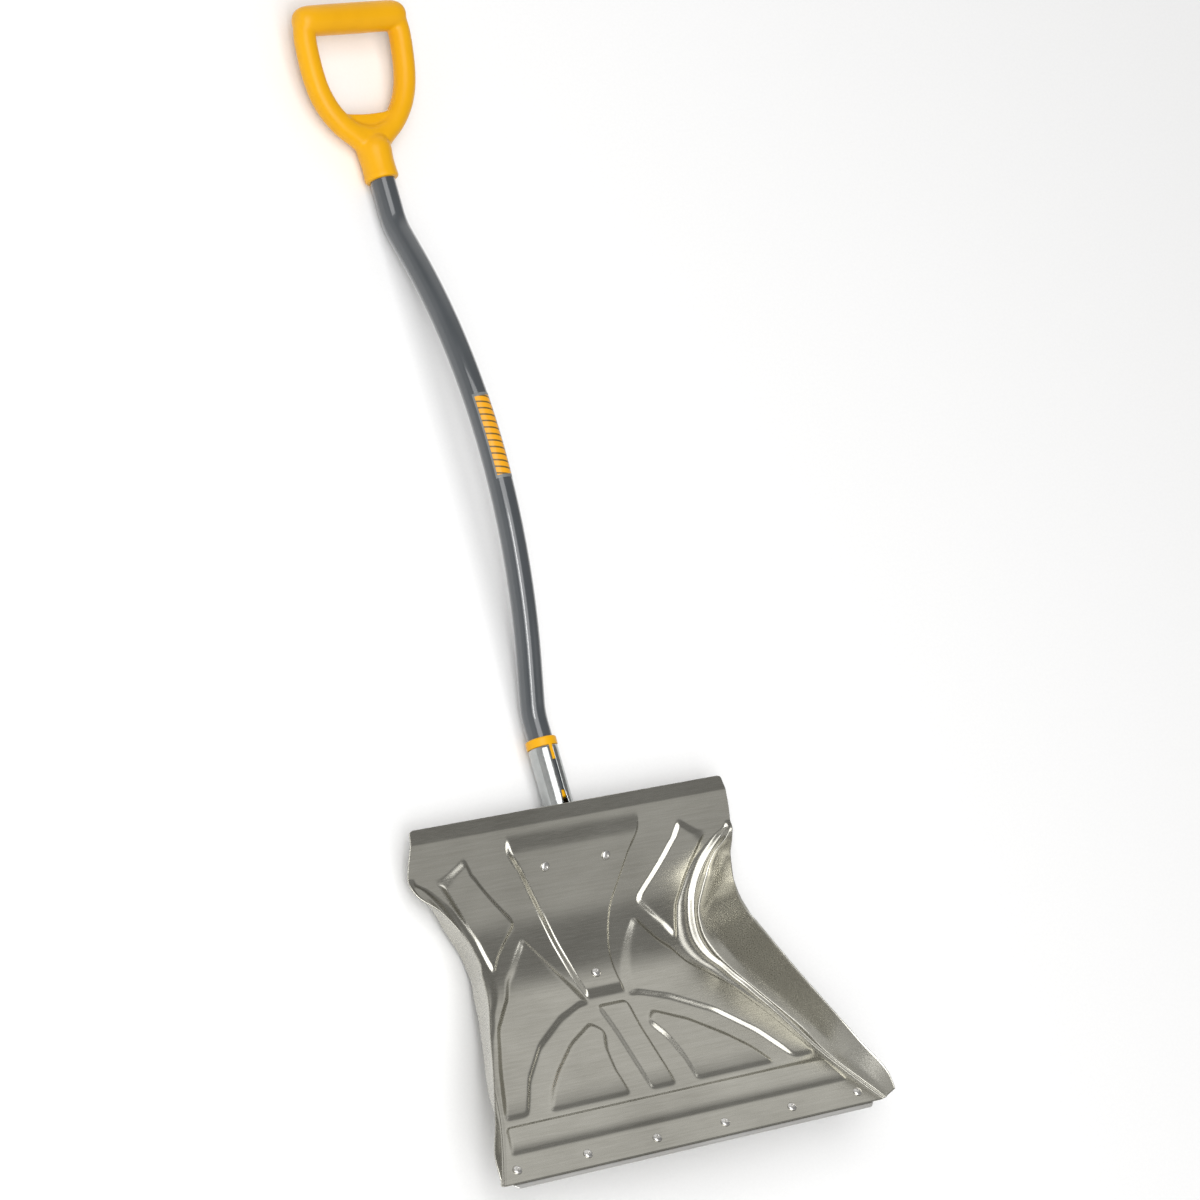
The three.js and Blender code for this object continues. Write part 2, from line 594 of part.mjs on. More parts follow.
// ---------------------------------------------------------------- collar
// A ring that sits on the socket's mouth, with a tongue that fills the top of the seam.
function collarGeometry() {
  const bore = SHAFT_RADIUS + GAP;
  const bottom = SOCKET_TOP - SHAFT_START + GAP;
  const section = [
    [bore, 0], [COLLAR_RADIUS - 0.8, 0], [COLLAR_RADIUS, 0.8], [COLLAR_RADIUS, COLLAR_HEIGHT - 2],
    [COLLAR_RADIUS - 1.6, COLLAR_HEIGHT], [bore, COLLAR_HEIGHT], [bore, 0],
  ].map(([r, y]) => new THREE.Vector2(r, bottom + y));
  const ring = new THREE.LatheGeometry(section, 24);
  const depth = COLLAR_RADIUS - 0.6 - bore;
  const tongue = new THREE.BoxGeometry(TONGUE_WIDTH, TONGUE_LENGTH + 4, depth);
  tongue.translate(0, bottom - TONGUE_LENGTH / 2 + 2, bore + depth / 2 + 0.2);
  const plain = join([ring, tongue]);
  return onShaft(plain, shaftStart);
}

// ---------------------------------------------------------------- D-grip
const gripRoot = (() => {
  const lean = radians(mouth.lean);
  return {
    y: mouth.y + NECK_LENGTH * Math.cos(lean),
    z: mouth.z - NECK_LENGTH * Math.sin(lean),
    lean: GRIP_LEAN,
  };
})();

function crossbarGeometry() {
  const half = 66;
  const section = [
    [0, -half - 6], [8, -half - 4.5], [14, -half], [CROSSBAR_RADIUS - 0.4, -half + 10],
    [CROSSBAR_RADIUS, -half / 3], [CROSSBAR_RADIUS, half / 3], [CROSSBAR_RADIUS - 0.4, half - 10],
    [14, half], [8, half + 4.5], [0, half + 6],
  ].map(([r, y]) => new THREE.Vector2(r, y));
  return new THREE.LatheGeometry(section, 20).rotateZ(-Math.PI / 2).translate(0, CROSSBAR_ALONG, 0);
}

function armGeometry(side) {
  const points = ARM_ROUTE.map(([x, y]) => new THREE.Vector3(side * x, y, 0));
  const curve = new THREE.CatmullRomCurve3(points);
  const round = new THREE.Shape();
  round.absarc(0, 0, ARM_RADIUS, 0, 2 * Math.PI, false);
  return new THREE.ExtrudeGeometry(round, { steps: 16, extrudePath: curve, curveSegments: 7 });
}

// The thin web that closes the bottom of the D between the arms.
function webGeometry() {
  const outline = new THREE.Shape();
  outline.moveTo(-40, 36);
  outline.quadraticCurveTo(0, 28, 40, 36);
  outline.lineTo(20, 4);
  outline.lineTo(-20, 4);
  outline.closePath();
  const thickness = 13;
  const web = new THREE.ExtrudeGeometry(outline, { depth: thickness, bevelEnabled: false, curveSegments: 8 });
  return web.translate(0, 0, -thickness / 2);
}

function neckGeometry() {
  const section = [
    [0, 0], [NECK_MOUTH_RADIUS - 0.6, 0], [NECK_MOUTH_RADIUS, 0.8], [NECK_MOUTH_RADIUS, 24],
    [NECK_MOUTH_RADIUS + 1, 34], [NECK_MOUTH_RADIUS + 2, 44], [NECK_MOUTH_RADIUS, 56], [10, 66], [0, 68],
  ].map(([r, y]) => new THREE.Vector2(r, y));
  return onShaft(new THREE.LatheGeometry(section, 20), mouth);
}

function gripGeometry() {
  const dee = [crossbarGeometry(), armGeometry(-1), armGeometry(1), webGeometry()];
  const placed = dee.map((piece) => onShaft(piece, gripRoot));
  const whole = join([neckGeometry(), ...placed]);
  const boreDepth = shaftEnd.distance - mouth.distance + GAP;
  const bore = new THREE.CylinderGeometry(SHAFT_RADIUS + GAP, SHAFT_RADIUS + GAP, boreDepth + 10, 24);
  bore.translate(0, (boreDepth - 10) / 2, 0);
  return cut(whole, [onShaft(bore, mouth), screwHole(gripScrewAt), screwSeat(GRIP_SCREW_SEAT, gripScrewAt)]);
}

// ---------------------------------------------------------------- assembly
const working = new THREE.Group();

function add(name, geometry, material) {
  const mesh = new THREE.Mesh(geometry, material);
  mesh.name = name;
  working.add(mesh);
}

add('blade', bladeGeometry(), aluminium());
add('wear_strip', wearStripGeometry(), galvanised());
lipRivets.forEach((place, i) => working.add(rivetMesh(`lip_rivet_${i + 1}`, place, aluminium())));
add('socket', socketGeometry(), galvanised());
const socketRivetNames = ['socket_rivet_left', 'socket_rivet_right', 'socket_rivet_lower'];
socketRivets.forEach((place, i) => working.add(rivetMesh(socketRivetNames[i], place, aluminium())));
add('socket_screw', screwGeometry(SOCKET_MID + PLATE_THICKNESS / 2, socketScrewAt), galvanised());
add('collar', collarGeometry(), yellowPlastic());
add('shaft', shaftGeometry(), paintedSteel());
add('shaft_plug', plugGeometry(), yellowPlastic());
add('shaft_label', labelGeometry(), labelFilm());
add('d_grip', gripGeometry(), yellowPlastic());
add('grip_screw', screwGeometry(GRIP_SCREW_SEAT, gripScrewAt), galvanised());

const BLADE_AND_HANDLE_PART_AT = 700; // a height between the blade and the grip

// The lowest z of the handle half less that of the blade half once the shovel is tipped by an angle.
function unevenness(tip, points) {
  const heights = points.map((p) => [p.y, p.y * Math.sin(tip) + p.z * Math.cos(tip)]);
  const lowest = (keep) => Math.min(...heights.filter(([y]) => keep(y)).map(([, height]) => height));
  return lowest((y) => y > BLADE_AND_HANDLE_PART_AT) - lowest((y) => y <= BLADE_AND_HANDLE_PART_AT);
}

// Tips the shovel until the belly of the blade and the handle touch the ground together.
function restingTip(group) {
  group.updateMatrixWorld(true);
  const points = [];
  group.traverse((item) => {
    if (item.isMesh) {
      const position = item.geometry.attributes.position;
      for (let i = 0; i < position.count; i += 1) {
        points.push(new THREE.Vector3().fromBufferAttribute(position, i).applyMatrix4(item.matrixWorld));
      }
    }
  });
  const halvings = 40;
  let low = radians(5);
  let high = radians(30);
  for (let i = 0; i < halvings; i += 1) {
    const middle = (low + high) / 2;
    if (unevenness(middle, points) < 0) {
      low = middle;
    } else {
      high = middle;
    }
  }
  return (low + high) / 2;
}

working.rotation.x = restingTip(working);
const group = new THREE.Group();
group.add(working);
group.updateMatrixWorld(true);
const box = new THREE.Box3().setFromObject(group, true);
const middle = box.getCenter(new THREE.Vector3());
working.position.set(0, -middle.y, -box.min.z);

export default group;
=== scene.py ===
"""Looks for the packed snow shovel: finer pieces that stand for the CAD nodes, materials, light, camera.

Pieces are laid out in millimetres in a working frame: X across the blade, Y up from the middle of
the cutting edge, Z towards the side that carries snow. They are then placed in the row frame, in
metres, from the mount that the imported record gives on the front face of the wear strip.
"""
import json
import math

import bmesh
import bpy
import numpy as np
from mathutils import Matrix, Vector


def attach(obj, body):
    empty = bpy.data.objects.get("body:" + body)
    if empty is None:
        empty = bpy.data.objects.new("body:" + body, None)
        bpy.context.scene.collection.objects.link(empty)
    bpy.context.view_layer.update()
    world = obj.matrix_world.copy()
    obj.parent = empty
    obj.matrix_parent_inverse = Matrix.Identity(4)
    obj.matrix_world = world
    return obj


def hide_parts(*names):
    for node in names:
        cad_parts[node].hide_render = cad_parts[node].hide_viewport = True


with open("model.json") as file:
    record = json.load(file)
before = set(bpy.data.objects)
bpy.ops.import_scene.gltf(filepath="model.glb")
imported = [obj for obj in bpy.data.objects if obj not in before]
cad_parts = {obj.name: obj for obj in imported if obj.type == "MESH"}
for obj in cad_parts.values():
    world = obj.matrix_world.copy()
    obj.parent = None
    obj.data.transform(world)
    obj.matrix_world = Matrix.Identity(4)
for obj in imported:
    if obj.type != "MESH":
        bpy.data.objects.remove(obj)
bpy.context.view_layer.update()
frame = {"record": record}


# ------------------------------------------------------------------ dimensions, in mm and degrees
GAP = 0.3

# Side profile of the blade, measured along the sheet from the cutting edge.
FLOOR_SLOPE = 44.3
FLOOR_LENGTH = 222
BEND_RADIUS = 120
BACK_SLOPE = -7
STRIP_START = 419
STRIP_SLOPE = 15
BLADE_LENGTH = 435
BLADE_THICKNESS = 1.6

# Ridge, channel and side wall, as (distance along the sheet, half width or height).
RIDGE_X = [(0, 255), (35, 236.5), (83, 214), (151, 190), (167, 183), (183, 176.5), (197, 169.5),
           (213, 163), (229, 155), (243, 151), (257, 149.5), (270, 150.5), (287, 153.5), (305, 158),
           (321, 165), (338, 175), (351, 185), (368, 201), (380, 216), (432, 209)]
RIDGE_RISE = [(0, 2), (83, 3), (151, 4), (213, 6), (257, 8), (305, 8), (338, 6), (351, 5.5), (368, 4.5),
              (375, 4), (382, 0), (435, 0)]
FILLET_WIDTH = [(0, 6), (83, 8), (138, 10), (212, 22), (255, 32), (300, 30), (343, 20), (362, 14),
                (378, 9), (435, 8)]
CHANNEL_X = [(0, 257), (83, 217), (108, 211), (134, 201), (159, 190), (185, 179), (211, 168),
             (237, 160), (257, 157), (273, 158), (285, 160), (296, 164), (308, 170), (320, 176),
             (333, 184), (345, 193), (358, 203), (371, 214), (378, 217)]
CHANNEL_DEPTH = [(60, 0.2), (150, 0.8), (220, 2.5), (340, 2.5), (368, 0.3), (378, 0)]
RIM_X = [(0, 263), (13, 262.5), (60, 243), (110, 222), (150, 206.5), (200, 188), (250, 179),
         (290, 178.5), (320, 181), (350, 195), (365, 211), (378, 217), (435, 209)]
RIM_RISE = [(0, 15), (13, 20.5), (60, 33), (110, 44.5), (150, 53), (200, 64.5), (250, 68),
            (290, 62.5), (320, 52.5), (350, 27.5), (365, 10), (375, 4.5), (382, 0), (435, 0)]
CREASE_WIDTH = [(60, 0.2), (100, 0.45), (230, 0.45), (290, 0.25), (378, 0.3)]  # share of the wall
CREASE_HEIGHT = [(0, 0.3), (60, 0.3), (100, 0.26), (230, 0.2), (290, 0.3), (378, 0.3)]
TOP_CORNER = 4

# Stamped relief, as closed outlines of (half width, distance along the sheet).
RELIEF = 3.5
PANEL_RELIEF = 5
BAND_RISE = 2.5
RUN_OUT = 26  # length over which the relief runs out at its lower ends
RUN_OUT_SHARE = 0.72
SHOULDER = 5.4
ARROW_END_SHOULDER = 9
PANEL_SIDE = [(208, 24), (219, 25), (250, 28), (290, 38), (311, 45), (343, 60), (370, 73), (396, 87),
              (412, 88)]
ARROW = [(146, 395), (178, 374), (157, 340), (134, 300), (123, 262), (113, 279), (83, 313), (108, 340),
         (120, 354), (137, 376)]
FIELD = [(74, 295), (98, 263), (111, 250), (121, 230), (153, 193), (181, 138), (207, 79), (179, 79),
         (153, 122), (118, 160), (73, 190), (39, 204), (26, 204), (29, 221), (48, 261)]
FIELD_INNER = [(22, 196), (27, 221), (46, 261), (71, 298)]
FIELD_INNER_SHOULDER = 15
PAD = [(42, 176), (79, 155), (113, 125), (133, 103), (149, 78), (45, 78), (46, 110), (41, 140),
       (30, 163)]
RIB = [(19, 196), (16, 160), (16, 78), (-16, 78), (-16, 160), (-19, 196)]
BAND = [(-224, 35), (224, 35), (212, 68), (-212, 68)]

# Fasteners and wear strip.
LIP_RIVET_PITCH = 91.2
LIP_RIVET_ALONG = 16
UPPER_RIVET_X = 41
UPPER_RIVET_ALONG = 370
LOWER_RIVET_ALONG = 238
SEAT_LIFT = 0.27
SCREW_RADIUS = 2.2
STRIP_HALF = 240
STRIP_OVERHANG = 5
STRIP_TOP = 32
STRIP_CORNER = 4
PLATE_THICKNESS = 2

# Shaft.
SHAFT_RADIUS = 14.3
SHAFT_BORE = 12.8
SOCKET_LEAN = 17.6
SOCKET_MARK = (358.3, -200.1)  # a point on the socket's axis, as (y, z)
SHAFT_START = 14
SHAFT_ROUTE = [("line", 81), ("turn", -20.6, 62), ("line", 46), ("turn", 42, 674), ("line", 31),
               ("turn", -21.7, 73), ("line", 86)]
SHAFT_SIDES = 56
SOCKET_SCREW_ALONG = 26

# Socket.
SOCKET_MID = SHAFT_RADIUS + 0.35 + PLATE_THICKNESS / 2
SOCKET_TOP = 66
SEAM_HALF_ANGLE = 8
PLATE_HALF = [(222, 9), (226, 13), (240, 16), (285, 25), (311, 33), (343, 43), (362, 49), (377, 49),
              (385, 15)]
PLATE_END = 385
TUBE_FROM = 409
TURN_FROM, STEP_FROM = 340, 393  # where the sheet starts to turn, and to step back from the blade

# Collar and label.
COLLAR_RADIUS = 17.6
COLLAR_HEIGHT = 10
TONGUE_LENGTH = 17
TONGUE_WIDTH = 3.6
LABEL_FROM = 354
LABEL_LENGTH = 98
LABEL_HALF_ANGLE = 48

# D-grip.
NECK_LENGTH = 46
SHAFT_IN_GRIP = 45
NECK_RADIUS = 18.8
GRIP_SCREW_ALONG = 18
GRIP_SCREW_SEAT = NECK_RADIUS - 3
GRIP_LEAN = 8
CROSSBAR_RADIUS = 17.6
CROSSBAR_ALONG = 143
CROSSBAR_HALF = 66
ARM_RADIUS = 12.2
ARM_ROUTE = [(0, -12), (17, 6), (35, 22), (51, 45), (59, 68), (62.5, 94), (63.5, 120), (60.5, 143)]
SADDLE_ROUTE = [(-40, 27.5), (-22, 13), (0, 7.5), (22, 13), (40, 27.5)]
WEB_THICKNESS = 10
MELT = 0.6  # thickness that smoothing takes off the moulded shapes

# Camera, in the working frame.
CAMERA_AT = (-3074.0, 972.4, 4337.0)
CAMERA_RIGHT = (0.8123, -0.1021, 0.5742)
CAMERA_UP = (0.1247, 0.9922, 0.0)
LENS = 150
SENSOR = 36

# ------------------------------------------------------------------ from the working frame to the row
edge_mount = next(m for m in frame["record"]["mounts"] if m["name"] == "scraping_edge")
TIP = math.radians(FLOOR_SLOPE) - math.atan2(edge_mount["axis"][2], -edge_mount["axis"][1])


def turned(points):
    """Working frame directions turned into the row frame."""
    p = np.atleast_2d(np.asarray(points, float))
    y = p[:, 1] * math.cos(TIP) - p[:, 2] * math.sin(TIP)
    z = p[:, 1] * math.sin(TIP) + p[:, 2] * math.cos(TIP)
    return np.column_stack([p[:, 0], y, z])


def mount_in_working_frame():
    """The middle of the wear strip's front face, where the mount sits."""
    slope = math.radians(FLOOR_SLOPE)
    rise = -(BLADE_THICKNESS + GAP + PLATE_THICKNESS / 2)
    y = -STRIP_OVERHANG * math.cos(slope) + rise * math.sin(slope)
    z = STRIP_OVERHANG * math.sin(slope) + rise * math.cos(slope)
    return (0, y, z)


OFFSET = np.array(edge_mount["pos_m"]) * 1000 - turned(mount_in_working_frame())[0]


def to_row(points):
    """Working frame points in mm, in the row frame in metres."""
    return (turned(points) + OFFSET) / 1000


# ------------------------------------------------------------------ small helpers
def along(points, at):
    """Straight lines through (position, value) points."""
    xs, values = np.array(points, float).T
    return np.interp(at, xs, values)


def curve(points, at):
    """A smooth line through (position, value) points that never overshoots them."""
    px, py = np.array(points, float).T
    gaps = np.diff(px)
    slopes = np.diff(py) / gaps
    before, after = slopes[:-1], slopes[1:]
    same_way = before * after > 0
    safe_before = np.where(same_way, before, 1)
    safe_after = np.where(same_way, after, 1)
    near = 2 * gaps[1:] + gaps[:-1]
    far = gaps[1:] + 2 * gaps[:-1]
    inner = (near + far) / (near / safe_before + far / safe_after)
    tangents = np.concatenate([slopes[:1], np.where(same_way, inner, 0), slopes[-1:]])
    at = np.clip(at, px[0], px[-1])
    i = np.clip(np.searchsorted(px, at) - 1, 0, len(gaps) - 1)
    h = gaps[i]
    t = (at - px[i]) / h
    rising = py[i] * (1 + 2 * t) + tangents[i] * h * t
    falling = py[i + 1] * (3 - 2 * t) + tangents[i + 1] * h * (t - 1)
    return rising * (1 - t) ** 2 + falling * t ** 2


def ease(t):
    """A smooth step from 0 to 1 as t goes from 0 to 1."""
    t = np.clip(t, 0, 1)
    return t * t * (3 - 2 * t)


def softened(outline, spacing=2.0, passes=8):
    """A closed outline as many points with its corners rounded."""
    corners = np.array(outline, float)
    points = []
    for a, b in zip(corners, np.roll(corners, -1, axis=0)):
        steps = max(1, round(np.linalg.norm(b - a) / spacing))
        points.extend(a + (b - a) * k / steps for k in range(steps))
    points = np.array(points)
    for _ in range(passes):
        points = (np.roll(points, 1, 0) + 2 * points + np.roll(points, -1, 0)) / 4
    return points


def depth_inside(outline, x, s):
    """How far points lie inside a closed outline, negative outside."""
    nearest = np.full(x.shape, 1e9)
    inside = np.zeros(x.shape, bool)
    for (ax, ay), (bx, by) in zip(outline, np.roll(outline, -1, axis=0)):
        dx, dy = bx - ax, by - ay
        t = np.clip(((x - ax) * dx + (s - ay) * dy) / (dx * dx + dy * dy), 0, 1)
        nearest = np.minimum(nearest, np.hypot(x - ax - t * dx, s - ay - t * dy))
        if ay != by:
            crosses = ((ay > s) != (by > s)) & (x < ax + (s - ay) * dx / dy)
            inside ^= crosses
    return np.where(inside, nearest, -nearest)


def make_piece(name, points, faces, smooth_angle=38):
    """An object in the row frame from working frame points, with outward faces."""
    mesh = bpy.data.meshes.new(name)
    mesh.from_pydata(to_row(points).tolist(), [], faces)
    shape = bmesh.new()
    shape.from_mesh(mesh)
    bmesh.ops.recalc_face_normals(shape, faces=shape.faces)
    shape.to_mesh(mesh)
    shape.free()
    mesh.shade_smooth()
    mesh.set_sharp_from_angle(angle=math.radians(smooth_angle))
    piece = bpy.data.objects.new(name, mesh)
    bpy.context.scene.collection.objects.link(piece)
    return piece


def settle(piece, smooth_angle=38):
    """Makes a piece's modifiers part of its mesh."""
    graph = bpy.context.evaluated_depsgraph_get()
    mesh = bpy.data.meshes.new_from_object(piece.evaluated_get(graph))
    piece.modifiers.clear()
    piece.data = mesh
    mesh.shade_smooth()
    mesh.set_sharp_from_angle(angle=math.radians(smooth_angle))
    return piece


def bevelled(piece, width, segments=3):
    """Rounds a piece's sharp edges by a width in mm."""
    modifier = piece.modifiers.new("edges", "BEVEL")
    modifier.width = width / 1000
    modifier.segments = segments
    modifier.limit_method = "ANGLE"
    modifier.angle_limit = math.radians(32)
    return settle(piece)


def place(points, origin, lean):
    """Moves points made about their own Y axis to an (y, z) place, leaning back by an angle."""
    p = np.asarray(points, float)
    a = math.radians(lean)
    y = origin[0] + p[:, 1] * math.cos(a) + p[:, 2] * math.sin(a)
    z = origin[1] - p[:, 1] * math.sin(a) + p[:, 2] * math.cos(a)
    return np.column_stack([p[:, 0], y, z])


def lathe(section, sides):
    """Points and faces of a closed turned shape from (radius, height) pairs about Y."""
    points = []
    rings = []
    for radius, height in section:
        if radius == 0:
            rings.append([len(points)])
            points.append((0, height, 0))
        else:
            rings.append(list(range(len(points), len(points) + sides)))
            for k in range(sides):
                angle = 2 * math.pi * k / sides
                points.append((radius * math.sin(angle), height, radius * math.cos(angle)))
    faces = []
    closing = [] if len(rings[0]) == 1 else [(rings[-1], rings[0])]
    for lower, upper in list(zip(rings, rings[1:])) + closing:
        for k in range(sides):
            a, b = lower[k % len(lower)], lower[(k + 1) % len(lower)]
            c, d = upper[(k + 1) % len(upper)], upper[k % len(upper)]
            faces.append(tuple(dict.fromkeys((a, b, c, d))))
    return np.array(points), faces


def swept(path, radius, sides):
    """Points and faces of a closed round bar along a path in the XY plane."""
    path = np.array(path, float)
    heading = np.gradient(path, axis=0)
    heading /= np.linalg.norm(heading, axis=1)[:, None]
    points = []
    for (x, y), (hx, hy) in zip(path, heading):
        for k in range(sides):
            angle = 2 * math.pi * k / sides
            aside = radius * math.cos(angle)
            points.append((x - hy * aside, y + hx * aside, radius * math.sin(angle)))
    faces = []
    for r in range(len(path) - 1):
        for k in range(sides):
            a, b = r * sides + k, r * sides + (k + 1) % sides
            faces.append((a, b, b + sides, a + sides))
    faces.append(tuple(range(sides)))
    faces.append(tuple(range(len(points) - sides, len(points))))
    return np.array(points), faces


def gathered(*parts):
    """Several (points, faces) in one."""
    points = []
    faces = []
    start = 0
    for part_points, part_faces in parts:
        points.append(part_points)
        faces.extend(tuple(i + start for i in face) for face in part_faces)
        start += len(part_points)
    return np.vstack(points), faces


def grid_normals(grid):
    """The normal at each point of a grid whose rows go up and columns go towards +X."""
    across = np.gradient(grid, axis=1)
    up = np.gradient(grid, axis=0)
    normal = np.cross(across, up)
    return normal / np.linalg.norm(normal, axis=2)[:, :, None]


def border_indices(rows, columns):
    """The places round a grid, and for each the place just inside it."""
    loop = [(0, c) for c in range(columns)]
    loop += [(r, columns - 1) for r in range(1, rows)]
    loop += [(rows - 1, c) for c in range(columns - 2, -1, -1)]
    loop += [(r, 0) for r in range(rows - 2, 0, -1)]
    inner = [(min(max(r, 1), rows - 2), min(max(c, 1), columns - 2)) for r, c in loop]
    return np.array(loop).T, np.array(inner).T


def sheet(front, back, round_over=0.35):
    """Points and faces of a closed sheet between two grids, with its cut edges eased."""
    rows, columns = front.shape[:2]
    count = rows * columns
    loop, inner = border_indices(rows, columns)
    f, b = front[loop[0], loop[1]], back[loop[0], loop[1]]
    out = f - front[inner[0], inner[1]]
    out /= np.linalg.norm(out, axis=1)[:, None]
    ease_by = 0.22
    near = f + (b - f) * ease_by + out * round_over
    far = f + (b - f) * (1 - ease_by) + out * round_over
    points = np.vstack([front.reshape(-1, 3), back.reshape(-1, 3), near, far])
    faces = []
    for r in range(rows - 1):
        for c in range(columns - 1):
            a = r * columns + c
            d = a + columns
            faces.append((a, a + 1, d + 1, d))
            faces.append((count + a, count + d, count + d + 1, count + a + 1))
    ring_front = loop[0] * columns + loop[1]
    size = len(ring_front)
    rings = [ring_front, 2 * count + np.arange(size), 2 * count + size + np.arange(size),
             ring_front + count]
    for one, two in zip(rings, rings[1:]):
        for k in range(size):
            n = (k + 1) % size
            faces.append((int(one[k]), int(two[k]), int(two[n]), int(one[n])))
    return points, faces


# ------------------------------------------------------------------ blade surface
def profile_table():
    """Place and lean of the blade's side profile at many distances along the sheet."""
    step = 0.05
    fold = 1.5  # half the length of the soft bend under the top strip
    bend_end = FLOOR_LENGTH + BEND_RADIUS * math.radians(FLOOR_SLOPE - BACK_SLOPE)
    s = np.arange(-20, 440, step)
    leans = [(FLOOR_LENGTH, FLOOR_SLOPE), (bend_end, BACK_SLOPE), (STRIP_START - fold, BACK_SLOPE),
             (STRIP_START + fold, STRIP_SLOPE)]
    lean = np.radians(along(leans, s))
    y = np.cumsum(np.cos(lean)) * step
    z = -np.cumsum(np.sin(lean)) * step
    return s, y - np.interp(0, s, y), z - np.interp(0, s, z), lean


PROFILE = profile_table()


def profile(s):
    """y, z and lean of the blade's side profile at distances along the sheet."""
    table_s, y, z, lean = PROFILE
    return np.interp(s, table_s, y), np.interp(s, table_s, z), np.interp(s, table_s, lean)


def face_point(x, s, rise):
    """Points at x across the blade, s along it and a rise off it."""
    x, s, rise = np.broadcast_arrays(x, s, rise)
    y, z, lean = profile(s)
    return np.stack([x, y + rise * np.sin(lean), z + rise * np.cos(lean)], axis=-1)


def shoulder(depth, width=SHOULDER):
    """The share of a stamped height at a depth inside its outline."""
    return ease(depth / width + 0.5)


def run_out(above, length):
    """How much of its height the relief keeps at a distance above its lower end."""
    left = np.clip(1 - above / length, 0, 1)
    return 1 - RUN_OUT_SHARE * left**2


PANEL_FOOT, PANEL_FOOT_RUN = 207, 13  # where the panel's lower end starts, and its slope's length
PANEL_HEAD, PANEL_HEAD_RUN = 414, 27  # the same for its upper end
FIELD_SPLIT, FIELD_SPLIT_RUN = 196, 12  # above this the field's inner side is a broad slope
LOW_END = 77  # where the fields, pads and rib end above the band
BAND_SHOULDER = 4


def stamped(x, s):
    """Height of the stamped relief at a half width and distance along the sheet."""
    side = curve(PANEL_SIDE, s)
    slope = np.gradient(side, s[:, 0], axis=0)
    panel = shoulder((side - x) / np.hypot(1, slope))
    panel *= ease((s - PANEL_FOOT) / PANEL_FOOT_RUN) * ease((PANEL_HEAD - s) / PANEL_HEAD_RUN)
    arrow = shoulder(depth_inside(softened(ARROW), x, s))
    (end_x, end_s), (next_x, next_s) = ARROW[:2]
    run, drop = next_x - end_x, end_s - next_s
    from_end = ((end_s - s) * run - (x - end_x) * drop) / math.hypot(run, drop)
    arrow *= ease(from_end / ARROW_END_SHOULDER)
    field = shoulder(depth_inside(softened(FIELD), x, s))
    inner_x = curve([(b, a) for a, b in FIELD_INNER], s)
    upper = ease((s - FIELD_SPLIT) / FIELD_SPLIT_RUN)
    field *= 1 - upper * (1 - ease((x - inner_x) / FIELD_INNER_SHOULDER))
    pad = shoulder(depth_inside(softened(PAD), x, s))
    rib = shoulder(depth_inside(softened(RIB), x, s))
    low = np.maximum.reduce([field, pad, rib]) * run_out(s - LOW_END, RUN_OUT)
    band = shoulder(depth_inside(softened(BAND, passes=3), x, s), BAND_SHOULDER)
    band *= run_out(s - BAND[0][1], RUN_OUT / 2)
    raised = np.maximum(arrow, low) * RELIEF
    return np.maximum(raised, panel * PANEL_RELIEF) + band * BAND_RISE


INNER, FILLET, CHANNEL, WALL = 136, 20, 6, 22  # columns on each part of half a row
ROWS = 264
DENSE_AT = (1, 37, 66, 79, 200, 213, 296, 386, 402, STRIP_START, BLADE_LENGTH - 3)
FLANK_SHARE = [(140, 0.1), (212, 0.45), (320, 0.45), (350, 0.15)]  # rise given to the gentle slope
STEEP_FROM = [(300, 0.75), (350, 0.45)]  # where across the fillet its steep part starts
CREASE_AT = 0.3  # share of the wall's columns below its crease


def blade_rows():
    """Distances along the sheet, closer together where stamped shoulders cross the rows."""
    s = np.arange(0, BLADE_LENGTH, 0.25)
    weight = np.ones(s.shape)
    for centre in DENSE_AT:
        weight += 0.9 * np.exp(-((s - centre) / 6) ** 2)
    total = np.cumsum(weight)
    return np.interp(np.linspace(total[0], total[-1], ROWS), total, s * BLADE_LENGTH / s[-1])


